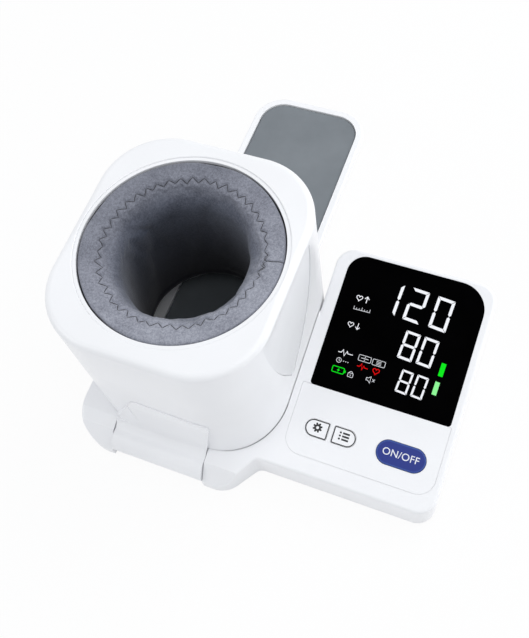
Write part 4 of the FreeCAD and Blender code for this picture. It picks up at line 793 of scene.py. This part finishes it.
def figure(digit, corners, width):
    """Seven-bar figure in the cell whose corners are given from top left, clockwise."""
    tl, tr, br, bl = [np.array(c, float) for c in corners]
    wide, high = np.linalg.norm(tr - tl), np.linalg.norm(tl - bl)

    def at(x, y):
        s, t = x / wide, y / high
        return tuple((bl * (1 - s) + br * s) * (1 - t) + (tl * (1 - s) + tr * s) * t)

    w, h, m, g = wide, high, high / 2, BAR_GAP / 2
    k = width
    tip = 0.15                  # the bars' outer tips are cut off by this
    bars = [
        [(g + tip, h), (k + g, h - k), (w - k - g, h - k), (w - g - tip, h)],
        [(w, h - g - tip), (w - k, h - k - g), (w - k, m + k / 2 + g), (w - k / 2, m + g),
         (w, m + k / 2 + g)],
        [(w, g + tip), (w, m - k / 2 - g), (w - k / 2, m - g), (w - k, m - k / 2 - g), (w - k, k + g)],
        [(g + tip, 0), (w - g - tip, 0), (w - k - g, k), (k + g, k)],
        [(0, g + tip), (k, k + g), (k, m - k / 2 - g), (k / 2, m - g), (0, m - k / 2 - g)],
        [(0, h - g - tip), (0, m + k / 2 + g), (k / 2, m + g), (k, m + k / 2 + g), (k, h - k - g)],
        [(k / 2 + g, m), (k + g, m - k / 2), (w - k - g, m - k / 2), (w - k / 2 - g, m),
         (w - k - g, m + k / 2), (k + g, m + k / 2)],
    ]
    made = []
    for is_lit, bar in zip(BARS[digit], bars):
        if is_lit:
            line = [at(*p) for p in bar]
            area = sum(a[0] * b[1] - b[0] * a[1] for a, b in zip(line, line[1:] + line[:1]))
            made.append(line if area > 0 else line[::-1])
    return made


WINDOW_TOP = 0.2            # above the panel's plane
MARK_TOP = WINDOW_TOP + 0.03


def build_figures():
    """Reading on the display: two blood pressures, the pulse and two bars beside them."""
    # figure, its cell's corners, width of its bars
    cells = [
        ("1", [(121.6, 157.6), (134.8, 157.2), (133.7, 132.0), (120.4, 132.6)], 2.25),
        ("2", [(140.9, 157.2), (154.1, 156.5), (153.0, 130.9), (139.8, 131.9)], 2.25),
        ("0", [(160.7, 156.1), (173.9, 155.1), (172.9, 130.3), (159.6, 131.5)], 2.25),
        ("8", [(145.8, 124.6), (157.0, 123.9), (155.7, 102.2), (144.5, 103.0)], 1.9),
        ("0", [(160.0, 123.8), (171.3, 123.0), (170.1, 101.8), (158.8, 102.6)], 1.9),
        ("8", [(151.4, 95.8), (160.3, 95.1), (159.2, 77.9), (150.2, 78.6)], 1.5),
        ("0", [(163.0, 95.3), (171.7, 94.7), (170.7, 77.7), (161.9, 78.4)], 1.5),
    ]
    outlines = []
    for cell in cells:
        outlines += figure(*cell)
    plates("display_figures", outlines, "base", LIT_WHITE, MARK_TOP)
    plates("display_bar_bright", [[(176.8, 98.6), (180.3, 98.4), (180.5, 108.4), (177.0, 108.6)]], "base",
           LIT_GREEN, MARK_TOP)
    plates("display_bar_pale", [[(176.3, 84.3), (179.7, 84.1), (179.9, 94.0), (176.5, 94.2)]], "base",
           LIT_PALE, MARK_TOP)


def heart_line(x, v, size):
    """Outline of a heart, size mm wide."""
    line, steps, wide = [], 32, 32
    for k in range(steps):
        t = FULL_TURN * k / steps
        rise = 13 * math.cos(t) - 5 * math.cos(2 * t) - 2 * math.cos(3 * t) - math.cos(4 * t)
        line.append((x + size * 16 * math.sin(t) ** 3 / wide, v + size * rise / wide))
    return line


def build_signs():
    """Small generic pictograms beside the figures."""
    white, dim, green, red = [], [], [], []
    # upper value: heart and rising arrow
    white += stroke(heart_line(104.8, 138.2, 4.6), 0.55, True)
    white += stroke([(110.6, 135.6), (110.6, 140.2)], 0.6)
    white += stroke([(108.9, 138.7), (110.6, 140.6), (112.3, 138.7)], 0.6)
    # scale with ticks, every third one longer
    dim += stroke([(102.6, 129.0), (115.6, 129.3)], 0.4)
    for k in range(7):
        x, top = 103.0 + 2.05 * k, 131.4 if k % 3 == 0 else 130.4
        dim += stroke([(x, 129.1 + 0.05 * k), (x, top + 0.05 * k)], 0.36)
    # lower value: heart and falling arrow
    white += stroke(heart_line(104.6, 116.9, 4.4), 0.5, True)
    white += stroke([(110.2, 114.8), (110.2, 119.2)], 0.55)
    white += stroke([(108.6, 116.2), (110.2, 114.4), (111.8, 116.2)], 0.55)
    # beat line and clock
    white += stroke([(101.9, 94.4), (104.3, 94.5), (105.4, 96.9), (107.0, 92.4), (108.5, 96.4), (109.4, 94.7),
                     (113.2, 94.8)], 0.55)
    dim += stroke(disc(104.4, 88.4, 1.8), 0.4, True)
    dim += stroke([(104.4, 89.6), (104.4, 88.4), (105.3, 88.0)], 0.36)
    dim += [disc(108.0 + 1.7 * k, 88.5, 0.36) for k in range(3)]
    # two framed marks
    dim += stroke(box_line(117.9, 127.3, 92.6, 97.0, 0.7), 0.4, True)
    dim += stroke([(119.8, 94.8), (125.4, 94.9)], 0.5)
    dim += [disc(122.6, 96.0, 0.36), disc(122.6, 93.7, 0.36)]
    dim += stroke(box_line(128.7, 138.2, 92.4, 96.8, 0.7), 0.4, True)
    for k in range(3):
        dim += stroke([(131.6, 93.5 + 1.05 * k), (135.3, 93.5 + 1.05 * k)], 0.42)
    # closed lock
    dim += stroke(box_line(114.0, 117.9, 78.5, 81.5, 0.4), 0.42, True)
    dim += stroke(arc(115.95, 81.6, 1.2, 180, 0, 10), 0.42)
    dim += [disc(115.95, 80.0, 0.4)]
    # silent speaker
    dim += stroke([(128.0, 80.2), (129.3, 80.2), (131.2, 78.6), (131.2, 83.4), (129.3, 82.0), (128.0, 82.0)],
                  0.42, True)
    dim += stroke([(132.6, 80.1), (134.4, 82.1)], 0.42) + stroke([(134.4, 80.1), (132.6, 82.1)], 0.42)
    # battery
    green += stroke(box_line(101.6, 110.6, 78.9, 83.3, 0.7), 0.6, True)
    green += [[(111.0, 80.2), (111.9, 80.2), (111.9, 82.1), (111.0, 82.1)],
              [(105.2, 80.8), (106.0, 80.8), (105.9, 79.6), (107.5, 81.4), (106.4, 81.4), (106.7, 82.7)]]
    # beat and heart in red
    red += stroke([(118.6, 88.2), (120.2, 88.3), (121.0, 89.0), (121.7, 90.8), (122.7, 86.2), (123.6, 89.3),
                   (124.3, 88.2), (127.0, 88.1)], 0.62)
    red += stroke(heart_line(133.2, 88.3, 4.9), 0.6, True)
    plates("display_signs", white, "base", LIT_WHITE, MARK_TOP)
    plates("display_signs_small", dim, "base", LIT_DIM, MARK_TOP)
    plates("display_battery", green, "base", LIT_GREEN, MARK_TOP)
    plates("display_beat", red, "base", LIT_RED, MARK_TOP)


build_figures()
build_signs()


# ---- Marks on the keys, in the panel's plane ----
KEY_TOP = 0.5               # above the panel's plane
KEY_ROUND = 0.7             # radius of a key's upper edge
KEY_CORNER = 1.2            # corners of a key's square end
INK_LIFT = 0.025
INK_THICK = 0.04
LINE_INSETS, HIGHLIGHT_INSETS = (0.12, 0.86), (0.12, 1.1)     # of the printed lines and of the painted highlight, from a key's side
# left, right, front, rear, and whether the left and the right end are round
SET_KEY = (95.8, 113.2, 28.4, 41.2, True, False)
MEMORY_KEY = (117.0, 134.4, 28.4, 41.2, False, True)
START_KEY = (150.3, 186.9, 25.9, 43.7, True, True)


def key_line(x0, x1, v0, v1, left_round, right_round, inset):
    """Outline of a key with one or two round ends, drawn inwards by inset."""
    small, big = max(KEY_CORNER - inset, 0.3), (v1 - v0) / 2 - inset
    return round_box(x0 + inset, x1 - inset, v0 + inset, v1 - inset, big if left_round else small,
                     big if right_round else small, 14)


def key_band(name, key, body, low, high, finish=BLACK_INK):
    """Printed line, or on the start key a painted highlight, that follows the key's rolled edge between two
    insets.
    """
    rows = []
    for inset in np.linspace(low, high, 6):
        sink = KEY_ROUND - math.sqrt(max(KEY_ROUND ** 2 - max(KEY_ROUND - inset, 0) ** 2, 0))
        rows.append([on_panel(x, v, KEY_TOP - sink + INK_LIFT) for x, v in key_line(*key, inset)])
    mesh_piece(name, [p for row in rows for p in row], ring_faces(len(rows), len(rows[0])), body, finish)


def toothed_wheel(x, v):
    """Sign of the set key: a hub with teeth round it."""
    hub, hub_wide, tooth_in, tooth_out, tooth_wide, teeth = 1.85, 1.5, 2.3, 3.6, 1.35, 8
    wheel = stroke(disc(x, v, hub), hub_wide, True)
    for k in range(teeth):
        a = math.radians(360 / teeth * (k + 0.5))
        tooth = [(x + r * math.cos(a), v + r * math.sin(a)) for r in (tooth_in, tooth_out)]
        wheel += stroke(tooth, tooth_wide)
    return wheel


def three_bar_list(x, v):
    """Sign of the memory key: three dots with a bar each, up from the lowest one's centre."""
    pitch, dot, bar_start, bar_end, bar_wide = 2.35, 0.78, 1.8, 7.0, 1.4
    listed = []
    for k in range(3):
        level = v + pitch * k
        listed += [disc(x, level, dot)] + stroke([(x + bar_start, level), (x + bar_end, level)], bar_wide)
    return listed


def key_words(name, text, x, v):
    """Plain words printed on the power key."""
    size, half_thick = 7.4, 0.02
    words = bpy.data.curves.new(name, "FONT")
    words.body = text
    words.size = size * MM
    words.align_x = words.align_y = "CENTER"
    words.space_character = 1.03
    words.extrude = half_thick * MM
    holder = bpy.data.objects.new(name + "_curve", words)
    bpy.context.scene.collection.objects.link(holder)
    bpy.context.view_layer.update()
    data = bpy.data.meshes.new_from_object(holder.evaluated_get(bpy.context.evaluated_depsgraph_get()))
    bpy.data.objects.remove(holder)
    place = on_panel(x, v, KEY_TOP + half_thick)
    data.transform(Matrix.Translation(place) @ Matrix.Rotation(TILT, 4, "X"))
    data.materials.clear()
    data.materials.append(WHITE_INK)
    piece = bpy.data.objects.new(name, data)
    bpy.context.scene.collection.objects.link(piece)
    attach(piece, "start_stop")


def build_key_marks():
    key_band("set_button_line", SET_KEY, "set_key", *LINE_INSETS)
    key_band("memory_button_line", MEMORY_KEY, "memory_key", *LINE_INSETS)
    # painted highlight along the blue key's rolled edge: a paler blue band
    key_band("start_button_painted_highlight", START_KEY, "start_stop", *HIGHLIGHT_INSETS, PAINTED_HIGHLIGHT_BLUE)
    plates("set_button_sign", toothed_wheel(104.9, 35.6), "set_key", BLACK_INK, KEY_TOP + INK_LIFT, INK_THICK)
    plates("memory_button_sign", three_bar_list(122.3, 32.9), "memory_key", BLACK_INK, KEY_TOP + INK_LIFT,
           INK_THICK)
    key_words("start_button_words", "ON/OFF", 168.4, 34.9)


build_key_marks()


# ---- Studio, in metres ----
FLOOR_SIZE, FLOOR_LEVEL = 7.0, -0.0002
FLOOR_GLOW = 0.92           # part of the floor, as seen, that is plain white; the rest takes shadows
WORLD_LIGHT = 0.672
# name, place, what it faces, side, watts
LAMPS = [
    ("rear_key", (0.6, 1.2, 1.7), (0.05, 0, 0.05), 1.2, 10.5),
    ("right_rear", (1.5, 0.8, 0.5), (0, 0, 0.1), 0.9, 7.7),
    ("right_high", (1.0, -0.2, 1.5), (0.05, 0, 0.05), 1.0, 3.6),
    ("left_fill", (-1.2, -0.9, 1.2), (0, 0, 0.05), 1.0, 6.3),
]
# camera fitted to the photograph: its height, the focal length and the shifts in pixels, the sensor in mm
PHOTO_HEIGHT, FOCAL, SENSOR = 638.0, 850.0, 36.0
SHIFT_X, SHIFT_Y = 2.5, -13.0
CAMERA_PLACE = (0.202834, -0.228691, 0.640762)
CAMERA_RIGHT = Vector((0.92658169, 0.35931277, -0.1110887))
CAMERA_DOWN = Vector((0.27532503, -0.84927237, -0.45048037))
CAMERA_AHEAD = Vector((-0.25620791, 0.38682136, -0.88584804))


def seen_directly(tree):
    """1 for rays from the camera and for those that mirror or pass through, else 0."""
    path = tree.nodes.new("ShaderNodeLightPath").outputs
    return calc(tree, "MAXIMUM", calc(tree, "MAXIMUM", path["Is Camera Ray"], path["Is Glossy Ray"]),
                path["Is Transmission Ray"])


def coloured(tree, kind, colour):
    """Plain shader node of one colour."""
    made = tree.nodes.new(kind)
    made.inputs["Color"].default_value = (*colour, 1)
    return made


def mix_surface(tree, out, share, first, second):
    """Surface that goes from the first shader to the second by a share."""
    mix = tree.nodes.new("ShaderNodeMixShader")
    wire(tree, share, mix.inputs["Fac"])
    wire(tree, first.outputs[0], mix.inputs[1])
    wire(tree, second.outputs[0], mix.inputs[2])
    wire(tree, mix.outputs[0], out.inputs["Surface"])


def build_floor():
    """Pale floor that keeps the object's shadow and looks white from the camera."""
    made = bpy.data.materials.new("floor_white")
    made.use_nodes = True
    tree = made.node_tree
    tree.nodes.clear()
    out = tree.nodes.new("ShaderNodeOutputMaterial")
    diffuse = coloured(tree, "ShaderNodeBsdfDiffuse", (0.86, 0.86, 0.87))
    glow = coloured(tree, "ShaderNodeEmission", (1, 1, 1))
    mix_surface(tree, out, calc(tree, "MULTIPLY", seen_directly(tree), FLOOR_GLOW), diffuse, glow)
    corners = [(-1, -1), (1, -1), (1, 1), (-1, 1)]
    floor = mesh_piece("floor", [(x * FLOOR_SIZE, y * FLOOR_SIZE, FLOOR_LEVEL) for x, y in corners],
                       [(0, 1, 2, 3)], None, made, smooth=False)


def build_world():
    """Even light on the object, and white where the camera sees the world itself."""
    world = bpy.data.worlds.new("studio")
    world.use_nodes = True
    bpy.context.scene.world = world
    tree = world.node_tree
    tree.nodes.clear()
    out = tree.nodes.new("ShaderNodeOutputWorld")
    light = coloured(tree, "ShaderNodeBackground", (0.96, 0.98, 1.0))
    light.inputs["Strength"].default_value = WORLD_LIGHT
    seen = coloured(tree, "ShaderNodeBackground", (1, 1, 1))
    mix_surface(tree, out, seen_directly(tree), light, seen)


def lamp(name, place, target, side, power):
    """Square lamp that faces a target."""
    data = bpy.data.lights.new(name, "AREA")
    data.shape = "RECTANGLE"
    data.size = data.size_y = side
    data.energy = power
    made = bpy.data.objects.new(name, data)
    made.location = place
    made.rotation_mode = "QUATERNION"
    made.rotation_quaternion = (Vector(target) - Vector(place)).to_track_quat("-Z", "Y")
    bpy.context.scene.collection.objects.link(made)


def build_camera():
    """Camera of the photograph."""
    data = bpy.data.cameras.new("camera")
    data.sensor_width = SENSOR
    data.lens = FOCAL * SENSOR / PHOTO_HEIGHT
    data.shift_x = SHIFT_X / PHOTO_HEIGHT
    data.shift_y = SHIFT_Y / PHOTO_HEIGHT
    data.clip_start, data.clip_end = 0.01, 30.0
    camera = bpy.data.objects.new("camera", data)
    axes = Matrix((CAMERA_RIGHT, -CAMERA_DOWN, -CAMERA_AHEAD)).transposed()
    camera.matrix_world = Matrix.Translation(CAMERA_PLACE) @ axes.to_4x4()
    bpy.context.scene.collection.objects.link(camera)
    bpy.context.scene.camera = camera


build_floor()
build_world()
for settings in LAMPS:
    lamp(*settings)
build_camera()
bpy.context.scene.view_settings.view_transform = "Standard"
